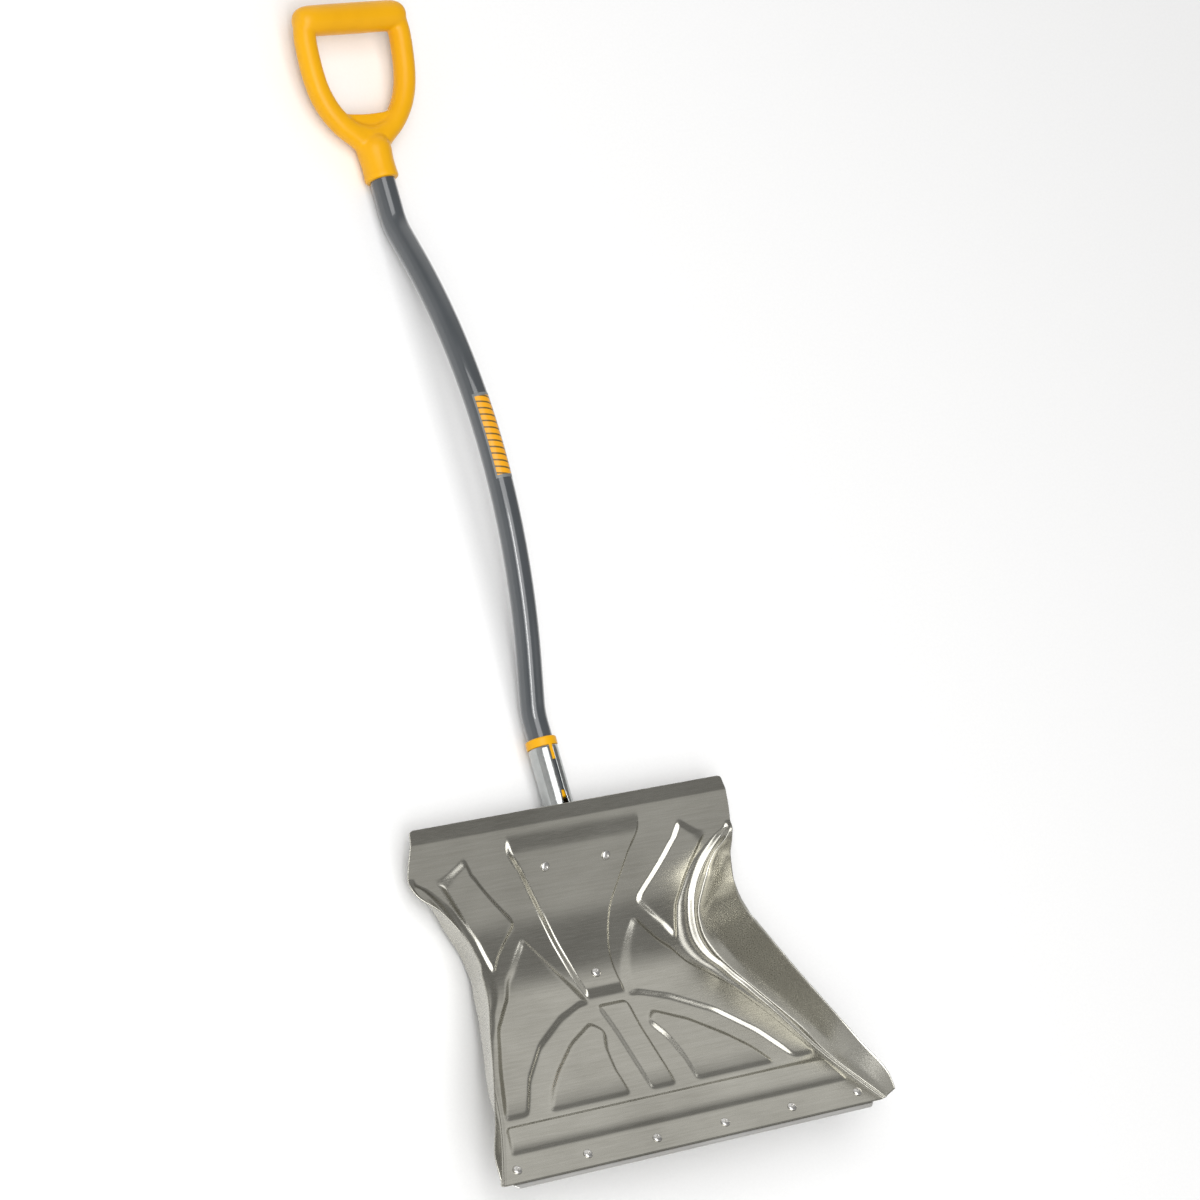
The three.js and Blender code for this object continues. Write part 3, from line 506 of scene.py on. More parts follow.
def half_grid(s):
    """Half widths and rises over half the blade for a column of distances along the sheet."""
    s = s[:, None]
    corner = np.clip(s - (BLADE_LENGTH - TOP_CORNER), 0, TOP_CORNER)
    rim = curve(RIM_X, s) - (TOP_CORNER - np.sqrt(TOP_CORNER ** 2 - corner ** 2))
    rim_rise = curve(RIM_RISE, s)
    channel = np.minimum(curve(CHANNEL_X, s), rim - 3)
    ridge = np.minimum(curve(RIDGE_X, s), channel - 1.2)
    start = np.minimum(ridge - curve(FILLET_WIDTH, s), ridge - 4)
    ridge_rise = curve(RIDGE_RISE, s)
    channel_rise = np.maximum(0, ridge_rise - curve(CHANNEL_DEPTH, s))

    t = np.linspace(0, 1, INNER + 1)[None, :]
    inner_x = start * t
    t = np.linspace(0, 1, FILLET + 1)[None, 1:]
    fillet_x = start + (ridge - start) * t
    share = along(FLANK_SHARE, s)
    steep_from = along(STEEP_FROM, s)
    steep = ease((t - steep_from) / (1 - steep_from))
    fillet_rise = ridge_rise * (share * ease((t - 0.15) / 0.45) + (1 - share) * steep)
    t = np.linspace(0, 1, CHANNEL + 1)[None, 1:]
    channel_xs = ridge + (channel - ridge) * t
    channel_rises = ridge_rise + (channel_rise - ridge_rise) * ease(t * 1.3)
    t = np.linspace(0, 1, WALL + 1)[None, 1:]
    low = np.minimum(t / CREASE_AT, 1)
    high = np.maximum((t - CREASE_AT) / (1 - CREASE_AT), 0)
    width_share = along(CREASE_WIDTH, s)
    height_share = along(CREASE_HEIGHT, s)
    wall_x = channel + (rim - channel) * (width_share * low + (1 - width_share) * high)
    wall_rise = channel_rise + (rim_rise - channel_rise) * (
        height_share * low + (1 - height_share) * high)

    x = np.hstack([inner_x, fillet_x, channel_xs, wall_x])
    rise = np.hstack([np.zeros(inner_x.shape), fillet_rise, channel_rises, wall_rise])
    spread = np.broadcast_to(s, x.shape)
    relief = stamped(x, spread) * (x <= ridge)
    first = INNER + FILLET
    for _ in range(3):
        for grid in (x, rise):
            middle = (grid[:, first:-2] + 2 * grid[:, first + 1:-1] + grid[:, first + 2:]) / 4
            grid[:, first + 1:-1] = middle
    return x, rise + relief


def blade_grids():
    """The front and back faces of the blade as grids of points."""
    s = blade_rows()
    x, rise = half_grid(s)
    for _ in range(2):
        rise[1:-1] = (rise[:-2] + 2 * rise[1:-1] + rise[2:]) / 4
    full_x = np.hstack([-x[:, :0:-1], x])
    full_rise = np.hstack([rise[:, :0:-1], rise])
    front = face_point(full_x, s[:, None], full_rise)
    return front, front - grid_normals(front) * BLADE_THICKNESS


def build_blade():
    return make_piece("blade_sheet", *sheet(*blade_grids()), smooth_angle=50)


# ------------------------------------------------------------------ wear strip and rivets
def build_wear_strip():
    s = np.array([-5, -4.3, -3, -2, -1, 2, 8, 14, 20, 26, 30, STRIP_TOP])[:, None]
    half = STRIP_HALF - np.clip(STRIP_CORNER - (s + STRIP_OVERHANG), 0, STRIP_CORNER)
    x = half * np.linspace(-1, 1, 121)[None, :]
    top = -BLADE_THICKNESS - GAP / 3
    front = face_point(x, s, top)
    back = face_point(x, s, -BLADE_THICKNESS - GAP - PLATE_THICKNESS)
    return make_piece("wear_strip_steel", *sheet(front, back, 0.5), smooth_angle=30)


LIP_RIVETS = [(n * LIP_RIVET_PITCH, LIP_RIVET_ALONG, 0) for n in (-2.5, -1.5, -0.5, 0.5, 1.5, 2.5)]
SOCKET_RIVETS = [(-UPPER_RIVET_X, UPPER_RIVET_ALONG, PANEL_RELIEF),
                 (UPPER_RIVET_X, UPPER_RIVET_ALONG, PANEL_RELIEF),
                 (0, LOWER_RIVET_ALONG, PANEL_RELIEF + SEAT_LIFT)]


def build_rivet(name, spot):
    """A set rivet: a domed head with a small centre recess, a shank and a formed tail behind."""
    x, s, rise = spot
    head, height, shank, tail = 5.4, 2.6, 2.5, 4.2
    stack = BLADE_THICKNESS + GAP + PLATE_THICKNESS
    dome = [(head * math.cos(a), 0.5 + (height - 0.5) * math.sin(a))
            for a in np.linspace(1.25, 0, 9)]
    dome = [(0, height - 1.5), (1.1, height - 1.4), (1.4, height - 0.3)] + dome
    section = dome + [(head, 0.06), (shank, 0.06), (shank, -stack - 0.1), (tail, -stack - 0.1),
                      (tail, -stack - 0.8), (tail - 0.6, -stack - 1.5), (1.6, -stack - 1.7),
                      (1.2, -stack - 0.9), (0, -stack - 0.8)]
    points, faces = lathe(section[::-1], 36)
    y, z, lean = profile(s)
    seat = (y + rise * math.sin(lean), z + rise * math.cos(lean))
    placed = place(points, seat, math.degrees(lean) - 90)
    placed[:, 0] += x
    return make_piece(name, placed, faces, smooth_angle=32)


# ------------------------------------------------------------------ shaft
def shaft_stations():
    """Stations along the shaft as rows of y, z, lean and distance."""
    lean = SOCKET_LEAN
    y = SOCKET_MARK[0] + SHAFT_START * math.cos(math.radians(lean))
    z = SOCKET_MARK[1] - SHAFT_START * math.sin(math.radians(lean))
    distance = 0.0
    stations = [(y, z, lean, distance)]
    for kind, amount, *rest in SHAFT_ROUTE:
        turn = amount if kind == "turn" else 0
        length = math.radians(abs(turn)) * rest[0] if turn else amount
        count = max(4, round(length / 5))
        step = length / count
        for _ in range(count):
            heading = math.radians(lean + turn / count / 2)
            y += step * math.cos(heading)
            z -= step * math.sin(heading)
            lean += turn / count
            distance += step
            stations.append((y, z, lean, distance))
    return np.array(stations)


ROUTE = shaft_stations()
SHAFT_END = ROUTE[-1, 3]


def station_at(distance):
    """y, z and lean of the shaft's axis at a distance along it."""
    return tuple(float(np.interp(distance, ROUTE[:, 3], ROUTE[:, k])) for k in range(3))


def ring_beside(station, radius, angles):
    """Points beside the shaft at a radius and angles from its front."""
    local = np.column_stack([radius * np.sin(angles), np.zeros(len(angles)), radius * np.cos(angles)])
    return place(local, station[:2], station[2])


def build_shaft():
    angles = np.linspace(0, 2 * math.pi, SHAFT_SIDES, endpoint=False)
    shoulder_run = 0.7
    distances = [0, shoulder_run] + list(ROUTE[1:-1, 3]) + [SHAFT_END - shoulder_run, SHAFT_END]
    trims = [shoulder_run] + [0] * (len(distances) - 2) + [shoulder_run]
    rings = []
    for distance, trim in zip(distances, trims):
        rings.append(ring_beside(station_at(distance), SHAFT_RADIUS - trim, angles))
    for distance in reversed(distances):
        rings.append(ring_beside(station_at(distance), SHAFT_BORE, angles))
    faces = []
    count = len(rings)
    for r in range(count):
        for k in range(SHAFT_SIDES):
            n = (k + 1) % SHAFT_SIDES
            a, b = r * SHAFT_SIDES, (r + 1) % count * SHAFT_SIDES
            faces.append((a + k, a + n, b + n, b + k))
    return make_piece("shaft_tube", np.vstack(rings), faces, smooth_angle=30)


def build_label():
    """The film on the front of the shaft, with its own coordinates for the printed bars."""
    runs, arcs = 48, 20
    angles = np.radians(np.linspace(-LABEL_HALF_ANGLE, LABEL_HALF_ANGLE, arcs + 1))
    distances = LABEL_FROM + np.linspace(0, LABEL_LENGTH, runs + 1)
    film = 0.18
    inner = np.array([ring_beside(station_at(d), SHAFT_RADIUS + 0.05, angles) for d in distances])
    outer = np.array([ring_beside(station_at(d), SHAFT_RADIUS + film, angles) for d in distances])
    points, faces = sheet(outer, inner, 0.05)
    piece = make_piece("label_sleeve", points, faces)
    u, v = np.meshgrid(np.linspace(0, 1, arcs + 1), np.linspace(0, 1, runs + 1))
    flat = np.column_stack([u.ravel(), v.ravel()])
    loop, _ = border_indices(runs + 1, arcs + 1)
    edge = flat[loop[0] * (arcs + 1) + loop[1]]
    places = np.vstack([flat, flat, edge, edge])
    layer = piece.data.uv_layers.new(name="film")
    for corner in piece.data.loops:
        layer.data[corner.index].uv = places[corner.vertex_index]
    return piece


def build_plug():
    rim = SHAFT_RADIUS
    section = [(3.2, -8), (rim - 1.5, -8), (rim - 0.4, -7.4), (rim, -6.5), (rim, -GAP),
               (SHAFT_BORE - GAP, -GAP), (SHAFT_BORE - GAP, 14), (SHAFT_BORE - 2.2, 14),
               (SHAFT_BORE - 2.2, -5), (3.2, -5)]
    points, faces = lathe(section, 48)
    y, z, lean, _ = ROUTE[0]
    return bevelled(make_piece("tube_plug", place(points, (y, z), lean), faces), 0.3)


# ------------------------------------------------------------------ socket
def socket_row(origin, front, depth, ear_half, steps):
    """A row across the socket's sheet at mid thickness: an arc about the tube and flat ears."""
    open_angle = math.pi - math.radians(SEAM_HALF_ANGLE)
    bend = min(open_angle, math.acos(1 - min(depth, 2 * SOCKET_MID) / SOCKET_MID))
    arc = SOCKET_MID * bend
    ear = max(0.0, ear_half - SOCKET_MID * math.sin(bend))
    fraction = np.linspace(-1, 1, 2 * steps + 1)
    run = np.abs(fraction) * (arc + ear)
    angle = np.minimum(run, arc) / SOCKET_MID
    x = np.sign(fraction) * (SOCKET_MID * np.sin(angle) + np.maximum(0, run - arc))
    rise = SOCKET_MID * (1 - np.cos(angle))
    return np.column_stack([x, origin[0] + front[0] * rise, origin[1] + front[1] * rise])


def socket_grid():
    """The socket's sheet at mid thickness, from the tip of the plate to the mouth of the tube."""
    steps = 34
    lean = math.radians(SOCKET_LEAN)
    front_way = np.array([math.sin(lean), math.cos(lean)])
    up_way = np.array([math.cos(lean), -math.sin(lean)])
    back_line = np.array(SOCKET_MARK) - front_way * SOCKET_MID
    plate_rise = PANEL_RELIEF - BLADE_THICKNESS - GAP - PLATE_THICKNESS / 2
    rows = []
    for s in np.linspace(PLATE_HALF[0][0], TUBE_FROM, 76):
        level = face_point(0, s, plate_rise)[1:]
        turn = min(max((s - TURN_FROM) / (TUBE_FROM - TURN_FROM), 0), 1)
        face_lean = float(profile(s)[2])
        own = np.array([math.sin(face_lean), math.cos(face_lean)])
        front = own * (1 - turn) + front_way * turn
        front /= np.linalg.norm(front)
        depth = max(0.0, float((level - back_line) @ front_way) / float(front @ front_way))
        step = float(along([(STEP_FROM, 0), (TUBE_FROM, PANEL_RELIEF)], s))
        ear_half = float(along(PLATE_HALF, s)) if s <= PLATE_END else 0
        rows.append(socket_row(level - front * depth, front, depth - min(step, depth), ear_half, steps))
    first_at = float((rows[-1][steps][1:] - back_line) @ up_way)
    tube_rows = 22
    for i in range(1, tube_rows + 1):
        at = first_at + (SOCKET_TOP - first_at) * i / tube_rows
        origin = back_line + up_way * at
        seam = math.radians(float(along([(first_at, 27), (14, SEAM_HALF_ANGLE)], at)))
        rows.append(socket_row(origin, front_way, SOCKET_MID * (1 + math.cos(seam)), 0, steps))
    return np.array(rows)


def build_socket():
    middle = socket_grid()
    for _ in range(3):
        inner = (middle[:, :-2] + 2 * middle[:, 1:-1] + middle[:, 2:]) / 4
        middle[:-14, 1:-1] = inner[:-14]
    half = PLATE_THICKNESS / 2
    normal = grid_normals(middle)
    return make_piece("socket_sheet", *sheet(middle + normal * half, middle - normal * half, 0.4),
                      smooth_angle=50)


def build_screw(name, distance, surface):
    """A pan head screw set in from behind, with a cross recess in its head."""
    y, z, lean = station_at(distance)
    tip = SHAFT_BORE - 4
    section = [(0, tip), (SCREW_RADIUS - 0.8, tip), (SCREW_RADIUS, tip + 1.2),
               (SCREW_RADIUS, surface + 0.1), (4.4, surface + 0.1), (4.4, surface + 1.5),
               (4.0, surface + 2.2), (3.2, surface + 2.7), (1.6, surface + 2.9), (0, surface + 2.9)]
    points, faces = lathe(section, 40)
    piece = make_piece(name, place(points, (y, z), lean + 90), faces)
    for width, length in ((0.9, 4.4), (4.4, 0.9)):
        bar, bar_faces = lathe([(0, -1.4), (math.sqrt(0.5), -1.4), (math.sqrt(0.5), 1.4), (0, 1.4)], 4)
        turn = bar.copy()
        turn[:, 0] = (bar[:, 0] + bar[:, 2]) * math.sqrt(0.5) * width
        turn[:, 2] = (bar[:, 2] - bar[:, 0]) * math.sqrt(0.5) * length
        turn[:, 1] += surface + 2.9
        tool = make_piece(name + "_recess", place(turn, (y, z), lean + 90), bar_faces)
        cut_away(piece, tool)
    return bevelled(piece, 0.15, 2)


def cut_away(piece, tool):
    """Cuts one closed piece out of another and drops the tool."""
    modifier = piece.modifiers.new("cut", "BOOLEAN")
    modifier.operation = "DIFFERENCE"
    modifier.object = tool
    modifier.solver = "EXACT"
    settle(piece)
    bpy.data.objects.remove(tool)
    return piece


# ------------------------------------------------------------------ moulded pieces
def moulded(piece, voxel, rounds):
    """Runs overlapping closed shapes into one soft moulded shape."""
    remesh = piece.modifiers.new("one_shape", "REMESH")
    remesh.mode = "VOXEL"
    remesh.voxel_size = voxel / 1000
    smooth = piece.modifiers.new("soft", "SMOOTH")
    smooth.factor = 0.5
    smooth.iterations = rounds
    return settle(piece, 60)


def block(x, y, z):
    """A closed box between pairs of limits, as points and faces."""
    points = [(a, b, c) for a in x for b in y for c in z]
    faces = [(0, 1, 3, 2), (4, 6, 7, 5), (0, 4, 5, 1), (2, 3, 7, 6), (0, 2, 6, 4), (1, 5, 7, 3)]
    return np.array(points, float), faces


def build_collar():
    bore = SHAFT_RADIUS + GAP / 2
    bottom = SOCKET_TOP - SHAFT_START + GAP / 2
    top = bottom + COLLAR_HEIGHT
    ring = lathe([(bore, bottom), (COLLAR_RADIUS, bottom), (COLLAR_RADIUS, top - 1.2),
                  (COLLAR_RADIUS - 1.2, top), (bore, top)], 96)
    tongue = block((-TONGUE_WIDTH / 2, TONGUE_WIDTH / 2), (bottom - TONGUE_LENGTH, bottom + 3),
                   (bore + 0.1, COLLAR_RADIUS - 0.4))
    y, z, lean, _ = ROUTE[0]
    points, faces = gathered(ring, tongue)
    return moulded(make_piece("collar_ring", place(points, (y, z), lean), faces), 0.5, 3)


def grip_root():
    """Where the D starts, above the mouth of the neck, as (y, z)."""
    y, z, lean = station_at(SHAFT_END - SHAFT_IN_GRIP)
    a = math.radians(lean)
    return (y + NECK_LENGTH * math.cos(a), z - NECK_LENGTH * math.sin(a))


def smooth_path(points, steps):
    """A path through (x, y) points, smooth against the distance along it."""
    points = np.array(points, float)
    run = np.concatenate([[0], np.cumsum(np.linalg.norm(np.diff(points, axis=0), axis=1))])
    at = np.linspace(0, run[-1], steps)
    xs = curve(np.column_stack([run, points[:, 0]]), at)
    ys = curve(np.column_stack([run, points[:, 1]]), at)
    return np.column_stack([xs, ys])


def crossbar():
    """The bar that the hand holds, a little fuller in the middle, with domed ends."""
    half, radius = CROSSBAR_HALF, CROSSBAR_RADIUS + MELT / 2
    ends = [(0, half + 6.4), (6, half + 6), (10, half + 5), (13, half + 3), (15, half),
            (16.6, half - 4), (radius - 0.3, half - 10), (radius - 0.1, half - 25)]
    section = [(r, -y) for r, y in ends] + [(radius, 0)] + [(r, y) for r, y in reversed(ends)]
    points, faces = lathe(section, 56)
    lying = np.column_stack([points[:, 1], CROSSBAR_ALONG + points[:, 0], points[:, 2]])
    return lying, faces


def web():
    """The thin web between the arms at the bottom of the D."""
    t = np.linspace(0, 1, 17)
    top = np.column_stack([-40 + 80 * t, 36 - 16 * t * (1 - t)])
    outline = np.vstack([top, [(20, 4), (-20, 4)]])
    count = len(outline)
    half = WEB_THICKNESS / 2
    points = np.vstack([np.column_stack([outline, np.full(count, z)]) for z in (-half, half)])
    faces = [tuple(range(count)), tuple(range(count, 2 * count))]
    faces += [(k, (k + 1) % count, count + (k + 1) % count, count + k) for k in range(count)]
    return points, faces


def neck():
    r = NECK_RADIUS + MELT / 2
    section = [(0, -0.8), (r - 0.8, -0.8), (r + 0.5, 0.8), (r + 0.5, 4), (r, 7), (r - 0.3, 16), (r, 26),
               (r + 1, 34), (r + 0.6, 40), (r - 1.5, 46), (14, 51), (8, 53.5), (0, 54.5)]
    return lathe(section, 72)


def build_grip():
    mouth_y, mouth_z, mouth_lean = station_at(SHAFT_END - SHAFT_IN_GRIP)
    arms = []
    for side in (-1, 1):
        path = smooth_path([(side * x, y) for x, y in ARM_ROUTE], 60)
        arms.append(swept(path, ARM_RADIUS + MELT, 32))
    arms.append(swept(smooth_path(SADDLE_ROUTE, 40), ARM_RADIUS + MELT / 2, 32))
    dee_points, dee_faces = gathered(crossbar(), *arms, web())
    dee = (place(dee_points, grip_root(), GRIP_LEAN), dee_faces)
    neck_points, neck_faces = neck()
    stem = (place(neck_points, (mouth_y, mouth_z), mouth_lean), neck_faces)
    piece = moulded(make_piece("grip_moulding", *gathered(dee, stem)), 1.3, 20)
    bore = SHAFT_RADIUS + GAP / 2
    tool_points, tool_faces = lathe([(0, -10), (bore, -10), (bore, SHAFT_IN_GRIP + 1), (0, SHAFT_IN_GRIP + 1)],
                                    64)
    tool = make_piece("bore", place(tool_points, (mouth_y, mouth_z), mouth_lean), tool_faces)
    cut_away(piece, tool)
    y, z, lean = station_at(SHAFT_END - SHAFT_IN_GRIP + GRIP_SCREW_ALONG)
    seat_points, seat_faces = lathe([(0, GRIP_SCREW_SEAT), (5, GRIP_SCREW_SEAT), (5, 30), (0, 30)], 40)
    cut_away(piece, make_piece("seat", place(seat_points, (y, z), lean + 90), seat_faces))
    return settle(piece, 40)


# ------------------------------------------------------------------ materials
def new_node(tree, kind, inputs=None, **settings):
    """Adds a node, sets its settings, and sets or links its inputs."""
    item = tree.nodes.new(kind)
    for key, value in settings.items():
        setattr(item, key, value)
    for key, value in (inputs or {}).items():
        if isinstance(value, bpy.types.NodeSocket):
            tree.links.new(value, item.inputs[key])
        else:
            item.inputs[key].default_value = value
    return item


def new_material(name):
    """A material with an empty principled shader, and its tree."""
    material = bpy.data.materials.new(name)
    material.use_nodes = True
    tree = material.node_tree
    tree.nodes.clear()
    shader = tree.nodes.new("ShaderNodeBsdfPrincipled")
    output = tree.nodes.new("ShaderNodeOutputMaterial")
    tree.links.new(shader.outputs["BSDF"], output.inputs["Surface"])
    return material, tree, shader


def noise(tree, stretch, scale=1.0, detail=3.0):
    """Noise over the object in metres, stretched along the axes."""
    place_node = new_node(tree, "ShaderNodeTexCoord")
    mapping = new_node(tree, "ShaderNodeMapping",
                       {"Vector": place_node.outputs["Object"], "Scale": stretch})
    texture = new_node(tree, "ShaderNodeTexNoise",
                       {"Vector": mapping.outputs["Vector"], "Scale": scale, "Detail": detail})
    return texture.outputs["Fac"]


def remap(tree, value, low, high, from_low=0.3, from_high=0.7):
    """A value moved to a new range."""
    item = new_node(tree, "ShaderNodeMapRange", {"Value": value, "From Min": from_low,
                                                 "From Max": from_high, "To Min": low, "To Max": high})
    return item.outputs["Result"]


def blended(tree, share, first, second):
    """A colour between two colours."""
    item = new_node(tree, "ShaderNodeMix", data_type="RGBA")
    for socket, value in ((item.inputs[0], share), (item.inputs[6], first), (item.inputs[7], second)):
        if isinstance(value, bpy.types.NodeSocket):
            tree.links.new(value, socket)
        else:
            socket.default_value = value
    return item.outputs[2]


def bump(tree, height, distance, strength=1.0, under=None):
    """A bump normal from a height."""
    inputs = {"Height": height, "Distance": distance, "Strength": strength}
    if under is not None:
        inputs["Normal"] = under
    return new_node(tree, "ShaderNodeBump", inputs).outputs["Normal"]


def colour(r, g, b):
    return (r, g, b, 1.0)


def brushed_metal(name, dark, light, rough_low, rough_high, grain, depth, streak=0.12):
    """Metal with grain along X, cloudy patches and fine scratches."""
    material, tree, shader = new_material(name)
    patches = noise(tree, (9, 9, 9), detail=4)
    lines = noise(tree, (22, grain, grain), detail=6)
    fine = noise(tree, (70, grain * 3, grain * 3), detail=3)
    tone = blended(tree, remap(tree, patches, 0, 1), dark, light)
    worn = blended(tree, remap(tree, lines, 0, streak), tone, (1.0, 0.98, 0.94, 1.0))
    tree.links.new(worn, shader.inputs["Base Color"])
    tree.links.new(remap(tree, fine, rough_low, rough_high), shader.inputs["Roughness"])
    first = bump(tree, lines, depth, 0.7)
    tree.links.new(bump(tree, fine, depth / 3, 0.6, first), shader.inputs["Normal"])
    shader.inputs["Metallic"].default_value = 1.0
    return material


def aluminium_sheet():
    return brushed_metal("aluminium_sheet", colour(0.385, 0.374, 0.330), colour(0.475, 0.464, 0.413),
                         0.20, 0.32, 420, 0.000022, 0.10)


def rivet_aluminium():
    return brushed_metal("rivet_aluminium_satin", colour(0.60, 0.59, 0.57), colour(0.72, 0.71, 0.69),
                         0.24, 0.34, 900, 0.00003)


def zinc_strip():
    return brushed_metal("strip_steel_worn", colour(0.50, 0.49, 0.47), colour(0.62, 0.62, 0.61),
                         0.28, 0.42, 220, 0.00008)


def zinc_socket():
    return brushed_metal("socket_zinc", colour(0.36, 0.375, 0.37), colour(0.46, 0.475, 0.47),
                         0.16, 0.26, 90, 0.00003)


def screw_steel():
    return brushed_metal("screw_zinc", colour(0.52, 0.53, 0.54), colour(0.66, 0.67, 0.68),
                         0.22, 0.32, 900, 0.00003)


def shaft_paint():
    """Glossy powder coat with a slight orange peel."""
    material, tree, shader = new_material("shaft_powder_coat")
    clouds = noise(tree, (12, 12, 12), detail=3)
    peel = noise(tree, (420, 420, 420), detail=2)
    tone = blended(tree, remap(tree, clouds, 0, 1), colour(0.052, 0.059, 0.065),
                   colour(0.062, 0.069, 0.076))
    tree.links.new(tone, shader.inputs["Base Color"])
    tree.links.new(remap(tree, clouds, 0.18, 0.24), shader.inputs["Roughness"])
    tree.links.new(bump(tree, peel, 0.00003, 0.25), shader.inputs["Normal"])
    shader.inputs["Coat Weight"].default_value = 1.0
    shader.inputs["Coat Roughness"].default_value = 0.06
    return material


def moulded_plastic(name, dark, light, peel_size, depth):
    """Pigmented plastic with a fine moulded skin and faint flow marks."""
    material, tree, shader = new_material(name)
    flow = noise(tree, (20, 8, 20), detail=3)
    skin = noise(tree, (peel_size, peel_size, peel_size), detail=3)
    scuffs = noise(tree, (160, 40, 160), detail=4)
    tone = blended(tree, remap(tree, flow, 0, 1), dark, light)
    tree.links.new(tone, shader.inputs["Base Color"])
    tree.links.new(remap(tree, scuffs, 0.30, 0.42), shader.inputs["Roughness"])
    tree.links.new(bump(tree, skin, depth, 0.5), shader.inputs["Normal"])
    shader.inputs["Specular IOR Level"].default_value = 0.28
    return material


def grip_plastic():
    return moulded_plastic("grip_yellow", colour(0.78, 0.375, 0.002), colour(0.85, 0.42, 0.003),
                           900, 0.00005)


def trim_plastic():
    return moulded_plastic("trim_yellow", colour(0.76, 0.365, 0.002), colour(0.83, 0.41, 0.003),
                           1100, 0.00004)


def between(tree, value, low, high):
    """1 where a value lies between two limits."""
    above = new_node(tree, "ShaderNodeMath", {0: value, 1: low}, operation="GREATER_THAN").outputs[0]
    below = new_node(tree, "ShaderNodeMath", {0: value, 1: high}, operation="LESS_THAN").outputs[0]
    return new_node(tree, "ShaderNodeMath", {0: above, 1: below}, operation="MULTIPLY").outputs[0]


BORDER_ACROSS, BORDER_ALONG = 0.09, 0.035  # the film's grey border, as shares of its size


def label_stripes(tree, u, v, printed_area):
    """1 where the film is printed yellow: a row of plain slanted bars, with no lettering."""
    bars = 13
    slant = new_node(tree, "ShaderNodeMath", {0: u, 1: 0.06}, operation="MULTIPLY").outputs[0]
    leaned = new_node(tree, "ShaderNodeMath", {0: v, 1: slant}, operation="ADD").outputs[0]
    counted = new_node(tree, "ShaderNodeMath", {0: leaned, 1: bars}, operation="MULTIPLY").outputs[0]
    phase = new_node(tree, "ShaderNodeMath", {0: counted}, operation="FRACT").outputs[0]
    bar = between(tree, phase, 0.0, 0.74)
    return new_node(tree, "ShaderNodeMath", {0: printed_area, 1: bar}, operation="MULTIPLY").outputs[0]


def label_film():
    """A printed film: plain yellow bars with dark gaps, inside a grey border."""
    material, tree, shader = new_material("label_print")
    place_node = new_node(tree, "ShaderNodeUVMap", uv_map="film")
    split = new_node(tree, "ShaderNodeSeparateXYZ", {"Vector": place_node.outputs["UV"]})
    u, v = split.outputs["X"], split.outputs["Y"]
    across = between(tree, u, BORDER_ACROSS, 1 - BORDER_ACROSS)
    run = between(tree, v, BORDER_ALONG, 1 - BORDER_ALONG)
    inner = new_node(tree, "ShaderNodeMath", {0: across, 1: run}, operation="MULTIPLY").outputs[0]
    printed = label_stripes(tree, u, v, inner)
    clouds = noise(tree, (60, 60, 60), detail=3)
    grey = blended(tree, remap(tree, clouds, 0, 1), colour(0.16, 0.17, 0.17), colour(0.20, 0.21, 0.21))
    ground = blended(tree, inner, grey, colour(0.16, 0.10, 0.02))
    tone = blended(tree, printed, ground, colour(0.84, 0.37, 0.006))
    tree.links.new(tone, shader.inputs["Base Color"])
    tree.links.new(remap(tree, clouds, 0.30, 0.40), shader.inputs["Roughness"])
    tree.links.new(bump(tree, clouds, 0.00003, 0.4), shader.inputs["Normal"])
    return material


# ------------------------------------------------------------------ stage, light and camera
def stage_material():
    material, tree, shader = new_material("stage_paper")
    fibre = noise(tree, (300, 300, 300), detail=2)
    tone = blended(tree, remap(tree, fibre, 0, 1), colour(0.93, 0.93, 0.93), colour(0.95, 0.95, 0.95))
    tree.links.new(tone, shader.inputs["Base Color"])
    shader.inputs["Roughness"].default_value = 0.95
    shader.inputs["Specular IOR Level"].default_value = 0.1
    return material


def build_floor():
    half = 30.0
    mesh = bpy.data.meshes.new("stage_floor")
    corners = [(-half, -half, 0), (half, -half, 0), (half, half, 0), (-half, half, 0)]
    mesh.from_pydata(corners, [], [(0, 1, 2, 3)])
    floor = bpy.data.objects.new("stage_floor", mesh)
    bpy.context.scene.collection.objects.link(floor)
    mesh.materials.append(stage_material())


def lobe(tree, direction, towards, start, full, amount):
    """Brightness added where a direction comes near to a working frame direction."""
    unit = Vector(turned(towards)[0]).normalized()
    dot = new_node(tree, "ShaderNodeVectorMath", {0: direction, 1: tuple(unit)},
                   operation="DOT_PRODUCT").outputs["Value"]
    ramp = new_node(tree, "ShaderNodeMapRange", {"Value": dot, "From Min": start, "From Max": full,
                                                 "To Min": 0.0, "To Max": amount},
                    interpolation_type="SMOOTHERSTEP")
    return ramp.outputs["Result"]


AMBIENT = 0.27
LOBES = [  # working frame direction, where it starts and is full as a cosine, brightness
    ((0.3, 0.93, -0.2), 0.60, 0.94, 0.62),
    ((0.57, -0.45, 0.69), 0.86, 0.99, 0.32),
    ((-0.95, 0.3, -0.15), 0.5, 0.95, 0.42),
]


def build_world():
    """A studio that is brighter overhead and to the left than to the right."""
    world = bpy.data.worlds.new("studio")
    bpy.context.scene.world = world
    world.use_nodes = True
    tree = world.node_tree
    tree.nodes.clear()
    direction = new_node(tree, "ShaderNodeTexCoord").outputs["Generated"]
    total = AMBIENT
    for towards, start, full, amount in LOBES:
        part = lobe(tree, direction, towards, start, full, amount)
        total = new_node(tree, "ShaderNodeMath", {0: part, 1: total}, operation="ADD").outputs[0]
    background = new_node(tree, "ShaderNodeBackground", {"Color": colour(1.0, 0.995, 0.985),
                                                         "Strength": total})
    output = new_node(tree, "ShaderNodeOutputWorld")
    tree.links.new(background.outputs["Background"], output.inputs["Surface"])


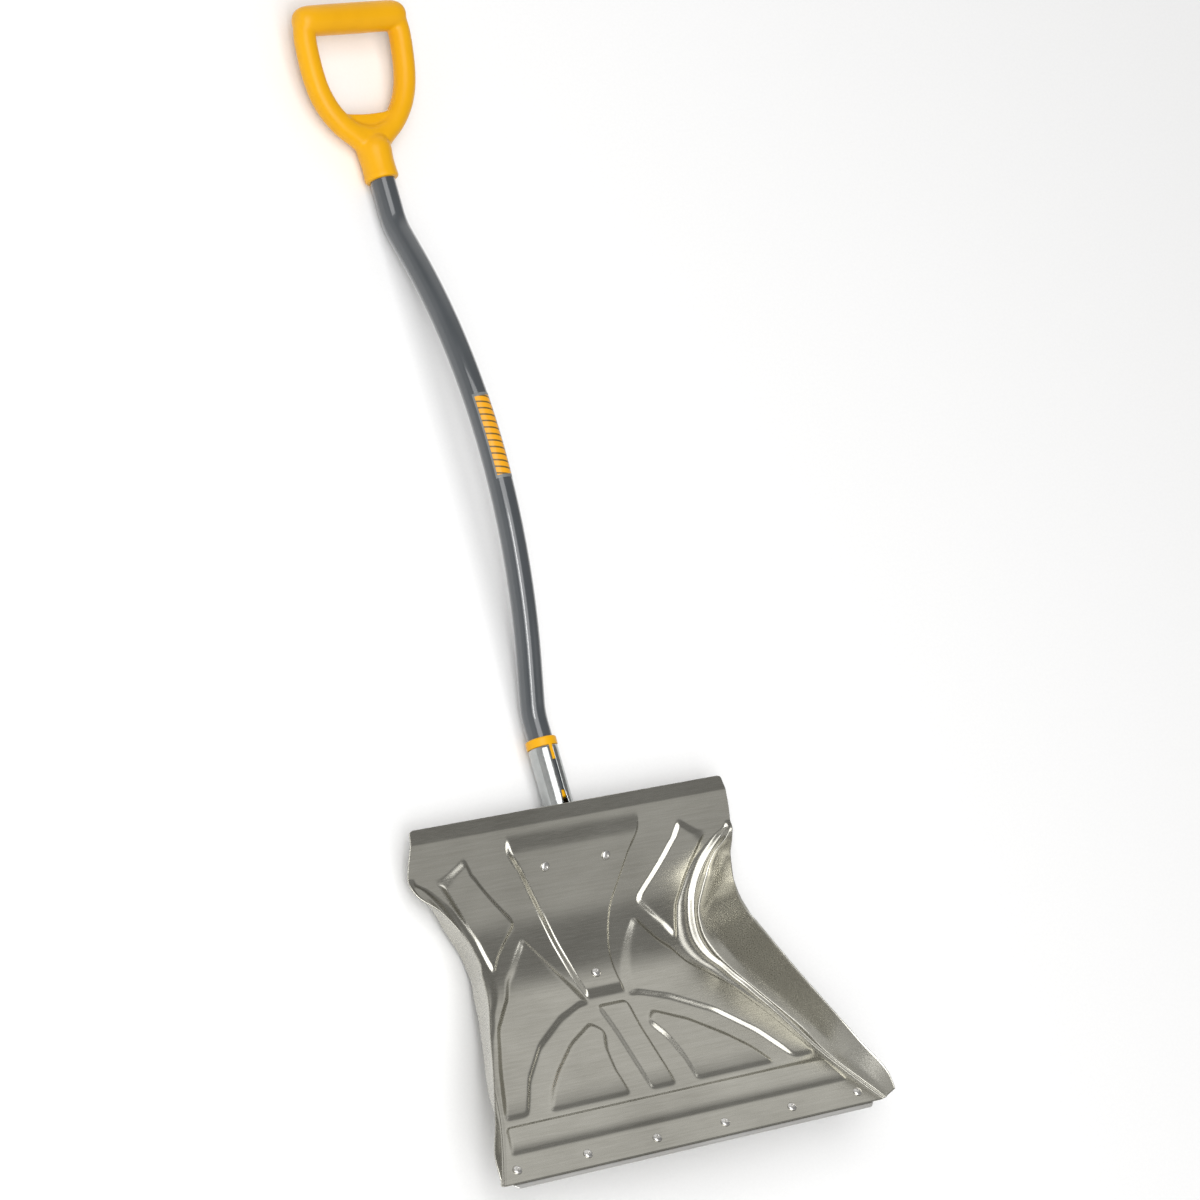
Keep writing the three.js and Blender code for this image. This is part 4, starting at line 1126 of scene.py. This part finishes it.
def add_light(name, turn, lift, distance, width, height, brightness):
    """A soft rectangular light that faces the shovel from an azimuth and elevation, in degrees.

    Both are in the working frame: azimuth from Z towards X, elevation towards Y.
    """
    centre = Vector(to_row((0, 620, -60))[0])
    azimuth, elevation = math.radians(turn), math.radians(lift)
    flat = math.cos(elevation)
    away = (flat * math.sin(azimuth), math.sin(elevation), flat * math.cos(azimuth))
    across = (math.cos(azimuth), 0, -math.sin(azimuth))
    back = Vector(turned(away)[0]).normalized()
    right = Vector(turned(across)[0]).normalized()
    data = bpy.data.lights.new(name, "AREA")
    data.shape = "RECTANGLE"
    data.size = width
    data.size_y = height
    data.energy = brightness * math.pi * width * height
    light = bpy.data.objects.new(name, data)
    bpy.context.scene.collection.objects.link(light)
    axes = Matrix((right, back.cross(right), back)).transposed().to_4x4()
    light.matrix_world = Matrix.Translation(centre + back * distance) @ axes


def build_lights():
    add_light("strip_light", -29, 2, 4.0, 0.5, 2.2, 10)
    add_light("front_window", -22, 6, 4.4, 3.4, 7.2, 2.7)


def build_camera():
    data = bpy.data.cameras.new("camera")
    data.lens = LENS
    data.sensor_width = SENSOR
    data.clip_end = 100
    camera = bpy.data.objects.new("camera", data)
    bpy.context.scene.collection.objects.link(camera)
    right = Vector(turned(CAMERA_RIGHT)[0]).normalized()
    up = Vector(turned(CAMERA_UP)[0]).normalized()
    back = right.cross(up)
    axes = Matrix((right, up, back)).transposed().to_4x4()
    camera.matrix_world = Matrix.Translation(Vector(to_row(CAMERA_AT)[0])) @ axes
    bpy.context.scene.camera = camera


# ------------------------------------------------------------------ assembly
def show(piece, material, slot, *nodes):
    """Gives a piece its material, and lets it stand for CAD nodes."""
    piece.data.materials.clear()
    piece.data.materials.append(material)
    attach(piece, "root")
    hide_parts(*nodes)


show(build_blade(), aluminium_sheet(), "blade_aluminium", "blade")
show(build_wear_strip(), zinc_strip(), "wear_strip_steel", "wear_strip")
rivet_finish = rivet_aluminium()
for number, spot in enumerate(LIP_RIVETS, 1):
    show(build_rivet(f"lip_rivet_{number}_set", spot), rivet_finish, "rivet_aluminium",
         f"lip_rivet_{number}")
for side, spot in zip(("left", "right", "lower"), SOCKET_RIVETS):
    show(build_rivet(f"socket_rivet_{side}_set", spot), rivet_finish, "rivet_aluminium",
         f"socket_rivet_{side}")
show(build_socket(), zinc_socket(), "socket_steel", "socket")
screw_finish = screw_steel()
show(build_screw("socket_screw_set", SOCKET_SCREW_ALONG, SOCKET_MID + PLATE_THICKNESS / 2),
     screw_finish, "screw_steel", "socket_screw")
show(build_screw("grip_screw_set", SHAFT_END - SHAFT_IN_GRIP + GRIP_SCREW_ALONG, GRIP_SCREW_SEAT),
     screw_finish, "screw_steel", "grip_screw")
show(build_shaft(), shaft_paint(), "shaft_paint", "shaft")
show(build_label(), label_film(), "label_film", "shaft_label")
trim_finish = trim_plastic()
show(build_plug(), trim_finish, "trim_plastic", "shaft_plug")
show(build_collar(), trim_finish, "trim_plastic", "collar")
show(build_grip(), grip_plastic(), "grip_plastic", "d_grip")

build_floor()
build_world()
build_lights()
build_camera()
bpy.context.scene.view_settings.view_transform = "Standard"
